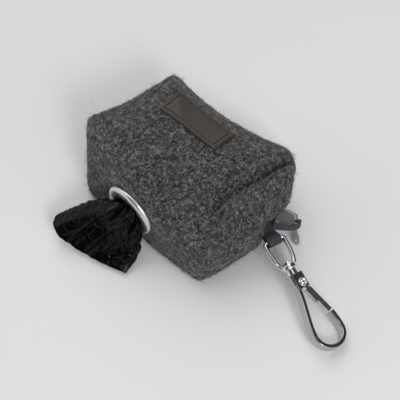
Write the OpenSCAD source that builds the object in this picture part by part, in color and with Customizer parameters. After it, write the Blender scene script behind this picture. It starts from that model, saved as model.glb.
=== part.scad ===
// Felt pouch that holds a roll of dog waste bags: the bag is drawn through a
// wide eyelet, a zip opens the sloping back, and a swivel snap hook hangs on a
// webbing loop.  The pouch rests on its flat base: +X runs from its left corner
// to the strap, -Y is the front with the eyelet, +Z is up.

/* [Pouch] */
// Length of the pouch, from its left corner to the strap corner
pouch_l = 95; // [88:1:120]
// Depth of the pouch, from front to back
pouch_w = 70; // [66:1:90]
// Height of the pouch
pouch_h = 44; // [42:1:60]
// Thickness of the felt
felt_t = 2.5; // [1.5:0.1:3]
// Height of the seam at the back corners
seam_back = 26; // [22:1:30]
// Height of the seam at the left corner
seam_left = 24; // [18:1:30]
// Height of the seam at the strap corner
seam_right = 14.5; // [12:0.5:18]
// Height of the seam along the front edge
seam_front = 4.5; // [4:0.5:8]
// Radius-like exponent of the walls: higher is boxier
boxy = 3.2; // [2.6:0.1:4]
// How far the felt sinks in beyond the end of the roll
fold_d = 5; // [0:0.5:7]

/* [Roll of bags] */
// Radius of the full roll
roll_r = 16; // [12:0.5:17]
// Length of the roll
roll_l = 58; // [50:1:60]
// Outer radius of the paper core
core_r = 7; // [5:0.5:9]
// Wall of the paper core
core_t = 1; // [0.6:0.1:1.5]
// Gap under the roll and round its core
roll_gap = 0.5; // [0.1:0.1:0.8]

/* [Eyelet] */
// Radius of the eyelet's flange
flange_r = 12.7; // [11:0.1:14]
// Radius of the opening that the bag is drawn through
eyelet_r = 7; // [5:0.5:8]
// How far the flange stands out from the felt
flange_h = 2.2; // [1.5:0.1:3]
// Wall of the eyelet's barrel
barrel_t = 0.6; // [0.4:0.1:0.9]
// Height of the eyelet's axis
eyelet_z = 22; // [20:0.5:26]
// Place of the eyelet along the front wall
eyelet_x = -6; // [-14:1:8]

/* [Label patch] */
// Length of the patch
patch_l = 33.5; // [25:0.5:40]
// Width of the patch
patch_w = 13.6; // [10:0.2:16]
// Thickness of the patch
patch_t = 1.2; // [0.8:0.1:2]

/* [Zip] */
// Height of the zip's centre line above the ground
zip_z = 8; // [7:0.5:10]
// Distance from the centre line to where the sloping side leaves the ground
zip_foot_y = 7; // [6:0.5:10]
// Length of the opening
zip_l = 72; // [50:1:80]
// Thickness of the tape
tape_t = 0.6; // [0.4:0.1:0.8]
// Width of each tape
tape_w = 7; // [6:0.5:7.5]
// Pitch of the teeth on each tape
tooth_pitch = 2.4; // [2:0.1:3]
// Thickness of a tooth, square to the tape
tooth_h = 1.7; // [1.5:0.1:1.9]
// Length of the slider
slider_l = 8; // [7:0.5:10]
// Width of the slider
slider_w = 7.2; // [6.8:0.1:8]
// Length of the pull tab
tab_l = 12; // [9:0.5:14]
// Width of the pull tab
tab_w = 3.2; // [2.8:0.1:4]
// Thickness of the pull tab
tab_t = 0.9; // [0.6:0.1:1.2]

/* [Strap] */
// Width of the webbing
web_w = 6.4; // [5:0.2:8]
// Thickness of the webbing
web_t = 1.2; // [0.8:0.1:1.4]
// Distance from the pouch's corner to the bar that the webbing goes round
web_reach = 6.5; // [6:0.5:12]

/* [Snap hook] */
// Radius of the stirrup's wire
eye_wire_r = 1.1; // [0.8:0.1:1.4]
// Distance from the stirrup's bar to the end of its base
eye_l = 14.5; // [12:0.5:18]
// Radius of the swivel post
post_r = 1.5; // [1.2:0.1:1.8]
// Distance from the stirrup's base to the hook's block
post_gap = 2.6; // [1:0.1:4]
// Length of the block
block_l = 7; // [6:0.5:9]
// Width of the block
block_w = 7; // [6:0.5:9]
// Thickness of the block
block_t = 5; // [4:0.2:6]
// Distance from the block to the centre of the hook's bend
bend_x = 20.9; // [18:0.5:26]
// Outer half width of the bend
bend_w = 8.4; // [7:0.1:10]
// Outer reach of the bend past its centre
bend_l = 7.7; // [6:0.1:9]
// Width of the hook's section, in its own plane
arm_w = 2; // [1.6:0.1:3]
// Thickness of the hook's section
arm_t = 4.5; // [3:0.1:5]
// Radius of the gate's pin
pin_r = 0.9; // [0.6:0.1:1.2]

/* [Hidden] */
$fn = 48;

felt_color = [0.36, 0.36, 0.35];
patch_color = [0.33, 0.29, 0.26];
steel_color = [0.72, 0.72, 0.73];
dark_steel_color = [0.38, 0.38, 0.40];
web_color = [0.27, 0.24, 0.28];
film_color = [0.05, 0.05, 0.06];
paper_color = [0.62, 0.50, 0.36];

// ---- small helpers ----
function mix(a, b, t) = a + (b - a) * t;
function clamp01(t) = max(0, min(1, t));
function smooth(t) = let (u = clamp01(t)) u * u * (3 - 2 * u);
function unit(v) = v / norm(v);
function bezier3(a, b, c, d, t) =
    let (u = 1 - t)
    a * u * u * u + b * 3 * u * u * t + c * 3 * u * t * t + d * t * t * t;

// Solid whose skin runs through a list of rings of points; each end is closed
// by a fan about the middle of its ring, or the last ring joins the first.
module loft(rings, closed = false, flip = false) {
    n = len(rings);
    m = len(rings[0]);
    last = closed ? n : n - 1;
    sides = [for (i = [0:last - 1], j = [0:m - 1])
        let (a = i * m + j, b = i * m + (j + 1) % m)
        let (c = ((i + 1) % n) * m + (j + 1) % m, d = ((i + 1) % n) * m + j)
        each flip ? [[a, c, d], [a, b, c]] : [[a, d, c], [a, c, b]]];
    first_mid = n * m;
    last_mid = n * m + 1;
    ends = closed ? [] : [for (j = [0:m - 1])
        let (k = (j + 1) % m, p = flip ? k : j, q = flip ? j : k)
        each [[first_mid, p, q], [last_mid, (n - 1) * m + q, (n - 1) * m + p]]];
    mids = closed ? [] : [ring_mid(rings[0]), ring_mid(rings[n - 1])];
    polyhedron(points = concat([for (r = rings) each r], mids), faces = concat(sides, ends));
}
function ring_mid(r) = [for (k = [0:2]) sum([for (p = r) p[k]]) / len(r)];
function sum(v, i = 0) = i < len(v) ? v[i] + sum(v, i + 1) : 0;

// Rounded section with half sizes a and b along two directions, with m points
function section(c, u, v, a, b, m = 12, e = 2.6) =
    [for (j = [0:m - 1]) let (t = 360 * j / m, cu = cos(t), cv = sin(t))
        c + u * a * sign(cu) * pow(abs(cu), 2 / e) + v * b * sign(cv) * pow(abs(cv), 2 / e)];

// ---- outline of the pouch ----
// Corners as shares of the length and depth, with the seam's height there and
// the exponent of the wall.
corner_n = 7;
corners = [
    [-0.522, -0.096, seam_left, 2.3],
    [-0.364, -0.377, seam_front, 2.6],
    [0.347, -0.471, seam_front + 1, 2.5],
    [0.482, -0.064, seam_right, 2.6],
    [0.476, 0.217, seam_right + 4, 2.8],
    [0.374, 0.474, seam_back, 2.2],
    [-0.340, 0.507, seam_back + 1, 2.2]];
// Points on each edge, and how far its middle is drawn in
edge_points = [7, 17, 8, 5, 5, 18, 12];
edge_pull = [0.5, -0.8, -0.4, 3.2, -1.2, 5, 0.5];

raw_rim = [for (i = [0:corner_n - 1], k = [0:edge_points[i] - 1])
    let (a = corners[i], b = corners[(i + 1) % corner_n], t = k / edge_points[i])
    let (pa = [a[0] * pouch_l, a[1] * pouch_w], pb = [b[0] * pouch_l, b[1] * pouch_w])
    let (side = unit(pb - pa), inward = [-side[1], side[0]])
    let (bow = 4 * t * (1 - t), p = mix(pa, pb, t) + inward * edge_pull[i] * bow)
    [p[0], p[1], mix(a[2], b[2], smooth(t)), mix(mix(a[3], b[3], t), boxy, bow)]];
rim_n = len(raw_rim);
function soften(r) = [for (j = [0:rim_n - 1])
    (r[(j + rim_n - 1) % rim_n] + 2 * r[j] + r[(j + 1) % rim_n]) / 4];
rim = soften(soften(raw_rim));
function rim_out(j) = let (a = rim[(j + rim_n - 1) % rim_n], b = rim[(j + 1) % rim_n])
    unit([b[1] - a[1], a[0] - b[0]]);
function inset_rim(d) = [for (j = [0:rim_n - 1]) let (o = rim_out(j))
    [rim[j][0] - o[0] * d, rim[j][1] - o[1] * d, rim[j][2], rim[j][3]]];

// ---- front wall at the eyelet ----
front_a = [corners[1][0] * pouch_l, corners[1][1] * pouch_w];
front_b = [corners[2][0] * pouch_l, corners[2][1] * pouch_w];
eyelet_yaw = atan2(front_b[1] - front_a[1], front_b[0] - front_a[0]) - 2;
eyelet_y = mix(front_a[1], front_b[1], (eyelet_x - front_a[0]) / (front_b[0] - front_a[0]));
flat_r = flange_r + 3;
flat_fade = 7;
// Moves a point of the front wall to the plane that the eyelet sits in
function seat_eyelet(p, d) =
    let (dx = p[0] - eyelet_x, dz = p[2] - eyelet_z, away = sqrt(dx * dx + dz * dz))
    let (w = p[1] < 0 ? 1 - smooth((away - flat_r) / flat_fade) : 0)
    [p[0], mix(p[1], eyelet_y + d + dx * tan(eyelet_yaw), w), p[2]];

// ---- fold across the top, where the felt sinks beyond the end of the roll ----
roll_x = -1.5;
fold_x = roll_x + roll_l / 2;
fold_skew = 0.21;
fold_y0 = -22;
fold_y1 = -6;
// Sharpness of the fold's near side, share of its depth that stays, and run of its far side
fold_sharp = 8;
fold_rest = 0.35;
fold_run = 6;
function fold_drop(x, y) =
    let (d = x - (fold_x + (y - fold_y0) * fold_skew))
    let (fade = smooth((y - fold_y0) / (fold_y1 - fold_y0)))
    fold_d * fade * (d < 0 ? exp(-d * d / fold_sharp) : mix(1, fold_rest, 1 - exp(-d / fold_run)));

// ---- skins of the two shells ----
function top_point(r, j, a, d) =
    let (e = 2 / r[j][3], s = pow(cos(a), e), h = pow(sin(a), e), x = r[j][0] * s, y = r[j][1] * s)
    let (z = mix(r[j][2], pouch_h - d - fold_drop(x, y), h))
    seat_eyelet([x, y, z], d);
// The base's round form would dip this far under the ground, which cuts it flat
base_dip = 1.6;
function low_point(r, j, a, d) =
    let (e = 2 / r[j][3], s = pow(cos(a), e), h = pow(sin(a), e), x = r[j][0] * s, y = r[j][1] * s)
    let (round_z = mix(r[j][2], -base_dip, h), slope_z = y - zip_foot_y + d * sqrt(2))
    seat_eyelet([x, y, min(r[j][2], max(d, round_z, slope_z))], d);
function angles(n, bend) = [for (k = [0:n - 1]) 89 * pow(k / (n - 1), bend)];
outer_steps = angles(13, 1.25);
inner_steps = angles(9, 1.2);
in_rim = inset_rim(felt_t);

module shell(upper) {
    out = [for (a = outer_steps) [for (j = [0:rim_n - 1])
        upper ? top_point(rim, j, a, 0) : low_point(rim, j, a, 0)]];
    inn = [for (a = inner_steps) [for (j = [0:rim_n - 1])
        upper ? top_point(in_rim, j, a, felt_t) : low_point(in_rim, j, a, felt_t)]];
    rings = concat([for (i = [len(out) - 1:-1:0]) out[i]], inn);
    loft(rings, flip = upper);
}

// ---- frames ----
module at_eyelet() {
    translate([eyelet_x, eyelet_y, eyelet_z]) rotate([90, 0, eyelet_yaw]) children();
}
// Zip frame: +X along the zip, +Y down the slope, +Z out of the felt
module at_zip() {
    translate([0, zip_foot_y + zip_z, zip_z]) rotate([-135, 0, 0]) children();
}
// Strap and hook frame: origin on the stirrup's bar, +X towards the hook's tip
strap_yaw = -23.2;
hook_pitch = 13.2;
hook_roll = -18;
bar_y = -2;
bar_z = 15.5;
bar_x = corners[3][0] * pouch_l - 2.3 + web_reach;
module at_bar() {
    translate([bar_x, bar_y, bar_z]) rotate([0, 0, strap_yaw]) children();
}
module at_eye() {
    at_bar() rotate([0, hook_pitch, 0]) children();
}
module at_hook() {
    at_eye() rotate([hook_roll, 0, 0]) children();
}

// ---- zip sizes ----
zip_end_x = corners[4][0] * pouch_l - 2;
zip_start_x = zip_end_x - zip_l;
tape_z = -1.6;
slot_w = slider_w + 1.4;
tape_gap = 1.1;
tape_in = 2.9;
tooth_in = 0.5;
tooth_out = 2.5;
tooth_w = 1;
chain_end_x = zip_end_x + slider_l + 1;
slider_x = zip_end_x + slider_l / 2 - 0.6;

// ---- strap sizes ----
root_drop = seam_right - bar_z;
root_in = 3;
root_x = -web_reach;
root_out = root_x + 2;
layer = web_t / 2 + 0.03;
bar_ring = eye_wire_r + 0.15 + web_t / 2;

pocket_room = 0.1;
module strap_pocket() {
    half_t = 2 * layer + 0.03;
    at_bar() translate([root_x - root_in - pocket_room, -web_w / 2 - pocket_room, root_drop - half_t])
        cube([root_in + 6, web_w + 2 * pocket_room, 2 * half_t]);
}
// Slot for the chain, and a rebate behind it that the tapes lie in
rebate_room = 0.3;
rebate_depth = 1.2;
module zip_cut() {
    rebate_y = tape_w + tape_gap / 2 + rebate_room;
    at_zip() {
        translate([zip_start_x, -slot_w / 2, -8])
            cube([zip_l + 20, slot_w, 16]);
        translate([zip_start_x - tape_in - rebate_room, -rebate_y, tape_z - rebate_depth])
            cube([zip_l + 30, 2 * rebate_y, rebate_depth + tape_t / 2 + 0.1]);
    }
}

module top_panel() {
    color(felt_color) difference() {
        shell(true);
        at_eyelet() cylinder(r = eyelet_r + barrel_t + 0.1, h = 30, center = true);
        strap_pocket();
    }
}
module bottom_panel() {
    color(felt_color) difference() {
        shell(false);
        zip_cut();
        strap_pocket();
    }
}

// ---- height of the top's skin above a point ----
function turn_of(p) = let (t = atan2(p[1], p[0])) t < rim_turn[0] ? t + 360 : t;
rim_turn = [for (j = [0:rim_n]) let (t = atan2(rim[j % rim_n][1], rim[j % rim_n][0]))
    j > rim_n / 2 && t < 0 ? t + 360 : (j < rim_n / 2 && t > 90 ? t - 360 : t)];
function top_z(x, y) =
    let (t = turn_of([x, y]))
    let (j = max([for (k = [0:rim_n - 1]) if (rim_turn[k] <= t) k]))
    let (w = clamp01((t - rim_turn[j]) / (rim_turn[j + 1] - rim_turn[j])))
    let (r = mix(rim[j], rim[(j + 1) % rim_n], w), s = norm([x, y]) / norm([r[0], r[1]]))
    mix(r[2], pouch_h - fold_drop(x, y), pow(1 - pow(s, r[3]), 1 / r[3]));

// ---- label patch ----
patch_yaw = -7;
patch_x = -3.4;
patch_back = 20.6;
patch_y = corners[6][1] * pouch_w - patch_back;
patch_lift = 0.3;
patch_cols = 10;
patch_rows = 4;
bevel = 0.6;
function patch_point(i, k, up) =
    let (g = up ? bevel : 0, l = patch_l - 2 * g, w = patch_w - 2 * g)
    let (u = l * (i / patch_cols - 0.5), v = w * (k / patch_rows - 0.5))
    let (x = patch_x + u * cos(patch_yaw) - v * sin(patch_yaw))
    let (y = patch_y + u * sin(patch_yaw) + v * cos(patch_yaw))
    [x, y, top_z(x, y) + patch_lift + (up ? patch_t : 0)];
// Ring of points round one cross-section of the patch
function patch_ring(i) = concat(
    [for (k = [0:patch_rows]) patch_point(i, k, true)],
    [for (k = [patch_rows:-1:0]) patch_point(i, k, false)]);
module label_patch() {
    color(patch_color) loft([for (i = [patch_cols:-1:0]) patch_ring(i)]);
}

// ---- eyelet ----
seat_gap = 0.12;
barrel_out = 1.2;
washer_t = 0.6;
washer_gap = 0.3;
module eyelet_flange() {
    color(steel_color) at_eyelet() {
        rotate_extrude($fn = 64) polygon(concat(
            [[eyelet_r, -felt_t - barrel_out], [eyelet_r + barrel_t, -felt_t - barrel_out],
             [eyelet_r + barrel_t, seat_gap], [flange_r - 0.5, seat_gap]],
            [for (a = [0:15:180]) let (mid = (flange_r + eyelet_r) / 2, half = (flange_r - eyelet_r) / 2)
                let (c = sign(cos(a)) * pow(abs(cos(a)), 0.7), s = pow(abs(sin(a)), 0.7))
                [mid + half * c, seat_gap + flange_h * s]]));
    }
}
module eyelet_washer() {
    color(steel_color) at_eyelet() difference() {
        translate([0, 0, -felt_t - washer_gap - washer_t]) cylinder(r = flange_r - 1.5, h = washer_t);
        translate([0, 0, -felt_t - 2]) cylinder(r = eyelet_r + barrel_t + 0.05, h = 3);
    }
}

// ---- zip ----
// One tape: side is 1 for the lower tape and -1 for the upper one
module tape(side) {
    inner = tape_gap / 2;
    at_zip() translate([zip_start_x - tape_in + 0.1, side > 0 ? inner : -inner - tape_w, tape_z - tape_t / 2])
        cube([zip_l + 2, tape_w, tape_t]);
    // the bare end, narrower, that runs on past the slider
    at_zip() translate([zip_end_x - 1, side > 0 ? inner : -inner - tape_w / 2, tape_z - tape_t / 2])
        cube([chain_end_x - zip_end_x + 1, tape_w / 2, tape_t]);
}
// Half of a tooth's outline, from the head at the middle of the zip to its foot
tooth_half = [[0.3, 0], [0.5, 0.15], [0.5, 0.35], [0.34, 0.5], [0.5, 0.65], [0.5, 1]];
module tooth(side) {
    grip = tape_t / 2 + 0.02;
    left = [for (p = tooth_half) [-p[0] * tooth_w, mix(tooth_in, tooth_out, p[1])]];
    right = [for (i = [len(left) - 1:-1:0]) [-left[i][0], left[i][1]]];
    for (s = [-1, 1])
        mirror([0, side > 0 ? 0 : 1, 0]) translate([0, 0, s > 0 ? grip : -tooth_h / 2])
            linear_extrude(tooth_h / 2 - grip) polygon(concat(left, right));
}
tooth_count = floor((zip_l + slider_l - 4) / tooth_pitch);
module teeth(side) {
    at_zip() for (i = [0:tooth_count - 1])
        translate([zip_start_x + 2.5 + (i + (side > 0 ? 0 : 0.5)) * tooth_pitch, 0, tape_z])
            tooth(side);
}
module zip_tape_upper() {
    color(web_color) tape(-1);
}
module zip_tape_lower() {
    color(web_color) tape(1);
}
module zip_teeth_upper() {
    color(steel_color) teeth(-1);
}
module zip_teeth_lower() {
    color(steel_color) teeth(1);
}
stop_l = 1.4;
module zip_top_stops() {
    color(steel_color) at_zip() for (side = [-1, 1], s = [-1, 1])
        translate([chain_end_x - stop_l - 0.2, side > 0 ? tooth_in + 0.1 : -tooth_out,
                   tape_z + (s > 0 ? tape_t / 2 + 0.02 : -tooth_h / 2)])
            cube([stop_l, tooth_out - tooth_in - 0.1, tooth_h / 2 - tape_t / 2 - 0.02]);
}
module zip_bottom_stop() {
    color(steel_color) at_zip() for (s = [-1, 1])
        translate([zip_start_x + 0.2, -tooth_out, tape_z + (s > 0 ? tape_t / 2 + 0.02 : -tooth_h / 2)])
            cube([stop_l, 2 * tooth_out, tooth_h / 2 - tape_t / 2 - 0.02]);
}

// ---- slider ----
plate_t = 0.8;
plate_gap = tooth_h + 0.3;
rail_t = 0.7;
rail_gap = tape_t + 0.3;
waist = 0.35;
// Outline of a slider plate: broad at the mouth, drawn in at the tail
module plate_outline() {
    polygon([[-slider_l / 2, -slider_w / 2 + 0.9], [-slider_l / 2, slider_w / 2 - 0.9],
             [-slider_l / 2 + 1, slider_w / 2 - 0.4], [slider_l / 2 - 2, slider_w / 2],
             [slider_l / 2 - 0.6, slider_w / 2 - 0.3], [slider_l / 2, slider_w / 4],
             [slider_l / 2 - 0.6, 0],
             [slider_l / 2, -slider_w / 4], [slider_l / 2 - 0.6, -slider_w / 2 + 0.3],
             [slider_l / 2 - 2, -slider_w / 2], [-slider_l / 2 + 1, -slider_w / 2 + 0.4]]);
}
module zip_slider() {
    color(steel_color) at_zip() translate([slider_x, 0, tape_z]) {
        for (s = [0, 1]) mirror([0, 0, s]) {
            translate([0, 0, plate_gap / 2]) linear_extrude(plate_t) plate_outline();
            for (side = [-1, 1])
                translate([-slider_l / 2 + 1.1, side > 0 ? slider_w / 2 - 0.3 - rail_t : -slider_w / 2 + 0.3,
                           rail_gap / 2])
                    cube([slider_l - 3.4, rail_t - 0.1, plate_gap / 2 - rail_gap / 2 + 0.1]);
        }
        translate([slider_l / 2 - 2.6, -waist, -plate_gap / 2 - 0.1])
            cube([1.6, 2 * waist, plate_gap + 0.2]);
    }
}
bridge_w = 1.5;
bridge_t = 0.8;
bridge_h = 2.6;
bridge_l = slider_l - 2.4;
bridge_top = tape_z + plate_gap / 2 + plate_t;
leg_x = slider_x + bridge_l / 2 - bridge_t / 2;
module slider_bridge() {
    color(steel_color) at_zip() translate([slider_x, bridge_w / 2, bridge_top]) rotate([90, 0, 0])
        linear_extrude(bridge_w) polygon([
            [-bridge_l / 2, 0], [-bridge_l / 2, bridge_h - 1], [-bridge_l / 2 + 1, bridge_h],
            [bridge_l / 2 - 1, bridge_h], [bridge_l / 2, bridge_h - 1], [bridge_l / 2, 0],
            [bridge_l / 2 - bridge_t, 0], [bridge_l / 2 - bridge_t, bridge_h - 1.3],
            [bridge_l / 2 - 1.3, bridge_h - bridge_t], [-bridge_l / 2 + 1.3, bridge_h - bridge_t],
            [-bridge_l / 2 + bridge_t, bridge_h - 1.3], [-bridge_l / 2 + bridge_t, 0]]);
}
tab_swing = 53;
tab_z = bridge_top + 0.25;
tab_eye_r = 1.15;
module pull_tab() {
    color(steel_color) at_zip() translate([leg_x, 0, tab_z]) rotate([0, 0, tab_swing])
        difference() {
            union() {
                cylinder(r = tab_eye_r + 0.75, h = tab_t);
                translate([0, -tab_w * 0.36, 0]) cube([tab_l - tab_w, tab_w * 0.72, tab_t]);
                translate([tab_l - 1.6 * tab_w, -tab_w / 2, 0]) cube([tab_w * 0.8, tab_w, tab_t]);
                translate([tab_l - 0.8 * tab_w, 0, 0]) cylinder(r = tab_w / 2, h = tab_t);
            }
            translate([0, 0, -1]) cylinder(r = tab_eye_r, h = tab_t + 2);
            translate([tab_l - 0.8 * tab_w, 0, -1]) cylinder(r = tab_w * 0.2, h = tab_t + 2);
        }
}

// ---- tape end, folded from the chain's end to the strap corner ----
fold_w = 6;
fold_t = 1.1;
fold_steps = 8;
function zip_place(p) = let (c = sqrt(0.5))
    [p[0], zip_foot_y + zip_z + (p[2] - p[1]) * c, zip_z - (p[1] + p[2]) * c];
fold_from = zip_place([chain_end_x + 0.6, -1.5, tape_z]);
fold_to = [bar_x - web_reach * cos(strap_yaw) + 0.9, bar_y + web_w * 0.5 + 3, seam_right + 0.2];
module tape_end_fold() {
    path = [for (i = [0:fold_steps]) bezier3(fold_from, fold_from + [1.4, -3, 1.5],
        fold_to + [2.2, 4.5, -1.5], fold_to, i / fold_steps)];
    color(web_color) loft([for (i = [0:fold_steps])
        let (t = i / fold_steps, run = unit(path[min(i + 1, fold_steps)] - path[max(i - 1, 0)]))
        let (wide = unit(mix([0.1, -0.7, -0.7], [0.45, 0.15, -0.9], smooth(t))))
        let (across = unit(wide - run * (wide * run)), thick = cross(run, across))
        section(path[i], across, thick, fold_w / 2, fold_t / 2, 8, 4)]);
}

// ---- strap ----
function strap_mid() = concat(
    [[root_x - root_in, root_drop + layer], [root_out, root_drop + layer],
     [mix(root_out, -bar_ring, 0.5), mix(root_drop + layer, bar_ring * 0.7, 0.35)],
     [-bar_ring * 0.8, bar_ring * 0.75]],
    [for (a = [105:-22.5:-105]) [bar_ring * cos(a), bar_ring * sin(a)]],
    [[-bar_ring * 1.2, -bar_ring], [root_out, root_drop - layer],
     [root_x - root_in, root_drop - layer]]);
module strap_loop() {
    m = strap_mid();
    n = len(m);
    color(web_color) at_bar() loft([for (i = [0:n - 1])
        let (run = unit(m[min(i + 1, n - 1)] - m[max(i - 1, 0)]), out = [-run[1], run[0]])
        section([m[i][0], 0, m[i][1]], [0, 1, 0], [out[0], 0, out[1]], web_w / 2, web_t / 2, 8, 6)]);
}

// ---- snap hook ----
eye_in = web_w / 2 + 0.35 + eye_wire_r;
base_t = 2.4;
base_r = 3.4;
neck = 2.2;
corner_r = 1.4;
// Centre line of the stirrup: along the bar, down one limb, through the base and back
function eye_path() = let (x1 = eye_l - base_t / 2 - 0.6, bar_end = eye_in - corner_r) concat(
    [for (k = [0:4]) [0, -bar_end + k * bar_end / 2]],
    [for (a = [60, 30, 0]) [corner_r - corner_r * sin(a), bar_end + corner_r * cos(a)]],
    [[4.5, eye_in], [7.5, eye_in - 0.3], [x1 - 2, neck + 1.6], [x1, neck + 0.2], [x1, 0],
     [x1, -neck - 0.2], [x1 - 2, -neck - 1.6], [7.5, -eye_in + 0.3], [4.5, -eye_in]],
    [for (a = [0, 30, 60]) [corner_r - corner_r * sin(a), -bar_end - corner_r * cos(a)]]);
module swivel_eye() {
    p = eye_path();
    n = len(p);
    color(steel_color) at_eye() difference() {
        union() {
            loft([for (i = [0:n - 1])
                let (run = unit(p[(i + 1) % n] - p[(i + n - 1) % n]), out = [-run[1], run[0]])
                section([p[i][0], p[i][1], 0], [out[0], out[1], 0], [0, 0, 1],
                        eye_wire_r, eye_wire_r, 10, 2)], true);
            translate([eye_l - base_t, 0, 0]) rotate([0, 90, 0]) cylinder(r = base_r, h = base_t);
        }
        translate([eye_l - base_t - 3, 0, 0]) rotate([0, 90, 0])
            cylinder(r = post_r + swivel_fit, h = base_t + 6);
        translate([eye_l - base_t - 3, 0, 0]) rotate([0, 90, 0])
            cylinder(r = head_r + 0.3, h = 3);
    }
}
head_r = 2.3;
head_h = 1.1;
swivel_fit = 0.08;
press_fit = 0.02;
pin_fit = 0.05;
post_in = 2.2;
block_x = eye_l + post_gap;
module swivel_post() {
    color(dark_steel_color) at_hook() {
        translate([eye_l - base_t - head_h - swivel_fit, 0, 0]) rotate([0, 90, 0])
            cylinder(r1 = head_r - 0.6, r2 = head_r, h = head_h);
        translate([eye_l - base_t - 0.2, 0, 0]) rotate([0, 90, 0])
            cylinder(r = post_r, h = base_t + post_gap + post_in);
        translate([eye_l + 0.15, 0, 0]) rotate([0, 90, 0])
            cylinder(r = post_r + 0.9, h = post_gap - 0.15);
    }
}

bend_c = block_x + block_l + bend_x;
pin_x = block_x + block_l - 2.4;
pin_y = 0.5;
cheek = 1.15;
slot_t = block_t - 2 * cheek;
arm_in = arm_w / 2;
nose_x = bend_c - 7.2;
nose_y = bend_w - arm_in - 0.9;
// Centre line of the hook: down the left arm, round the bend to the nose
hook_path = concat(
    [for (i = [0:7]) bezier3([block_x + block_l - 2.5, -block_w / 2 + arm_in + 0.1],
        [block_x + block_l + 5, -block_w / 2 + arm_in],
        [bend_c - 6, -bend_w + arm_in], [bend_c, -bend_w + arm_in], i / 8)],
    [for (a = [-90:8:78]) [bend_c + (bend_l - arm_in) * cos(a), (bend_w - arm_in) * sin(a)]],
    [for (i = [0:4]) bezier3([bend_c, bend_w - arm_in], [bend_c - 2.5, bend_w - arm_in],
        [bend_c - 5, nose_y + 0.3], [nose_x, nose_y], i / 4)]);
// Bar along +X from the origin, with its long edges bevelled
module bevelled_bar(l, w, t, b) {
    rotate([90, 0, 90]) linear_extrude(l) polygon([
        [-w / 2 + b, -t / 2], [w / 2 - b, -t / 2], [w / 2, -t / 2 + b], [w / 2, t / 2 - b],
        [w / 2 - b, t / 2], [-w / 2 + b, t / 2], [-w / 2, t / 2 - b], [-w / 2, -t / 2 + b]]);
}
block_bevel = 0.7;
knuckle_r = 2.7;
mortise_w = 2.2;
module hook_body() {
    n = len(hook_path);
    color(dark_steel_color) at_hook() difference() {
        union() {
            loft([for (i = [0:n - 1])
                let (a = hook_path[max(i - 1, 0)], b = hook_path[min(i + 1, n - 1)])
                let (run = unit(b - a), grow = i > n - 5 ? 1.12 : 1)
                section([hook_path[i][0], hook_path[i][1], 0], [-run[1], run[0], 0], [0, 0, 1],
                        arm_w / 2 * grow, arm_t / 2, 16, 5)]);
            translate([block_x, 0, 0]) bevelled_bar(block_l, block_w, block_t, block_bevel);
        }
        // mortise for the gate, open towards the bend and the gate's side
        translate([pin_x - knuckle_r, pin_y - mortise_w, -slot_t / 2]) cube([block_l, block_w, slot_t]);
        translate([pin_x, pin_y, -block_t]) cylinder(r = pin_r + press_fit, h = 2 * block_t);
        translate([block_x - 0.1, 0, 0]) rotate([0, 90, 0])
            cylinder(r = post_r + press_fit, h = post_in + 0.2);
    }
}
boss_r = 2;
module gate_pin() {
    color(steel_color) at_hook() translate([pin_x, pin_y, 0]) {
        cylinder(r = pin_r, h = block_t + 0.1, center = true);
        for (s = [0, 1]) mirror([0, 0, s]) translate([0, 0, block_t / 2 + 0.02])
            cylinder(r1 = boss_r, r2 = boss_r - 0.4, h = 0.5);
    }
}
gate_w = 2.4;
gate_t = slot_t - 0.3;
gate_root = 3.6;
gate_side = 0.2;
gate_end = [nose_x - 0.35, nose_y - gate_w / 2 + 0.1];
gate_run = [gate_end[0] - pin_x, gate_end[1] - pin_y];
gate_len = norm(gate_run);
gate_angle = atan2(gate_run[1], gate_run[0]);
module at_gate() {
    at_hook() translate([pin_x, pin_y, 0]) rotate([0, 0, gate_angle]) children();
}
module hook_gate() {
    color(steel_color) at_gate() difference() {
        union() {
            translate([0, 0, -gate_t / 2]) cylinder(r = pin_r + 0.9, h = gate_t);
            translate([0, -gate_side, -gate_t / 2]) cube([gate_len - 1, gate_w - 0.6, gate_t]);
            translate([gate_root, gate_w / 2 - gate_side, 0])
                bevelled_bar(gate_len - gate_root, gate_w, arm_t - 0.8, 0.45);
        }
        cylinder(r = pin_r + pin_fit, h = 2 * block_t, center = true);
    }
}
leaf_t = 0.35;
module gate_spring() {
    color(dark_steel_color) at_gate() {
        translate([gate_root - 0.3, -gate_side - 0.05 - leaf_t, -gate_t / 2 + 0.2])
            cube([gate_len * 0.42, leaf_t, gate_t - 0.4]);
    }
}

// ---- roll ----
roll_y = -4;
roll_z = felt_t + roll_gap + roll_r;
module roll_tube(r0, r1, l) {
    translate([roll_x, roll_y, roll_z]) rotate([0, 90, 0]) difference() {
        cylinder(r = r1, h = l, center = true);
        cylinder(r = r0, h = l + 2, center = true);
    }
}
module roll_core() {
    color(paper_color) roll_tube(core_r - core_t, core_r, roll_l);
}
module bag_roll() {
    color(film_color) roll_tube(core_r + 0.05, roll_r, roll_l - 0.4);
}

// ---- bag drawn out of the eyelet ----
bag_steps = 9;
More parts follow.
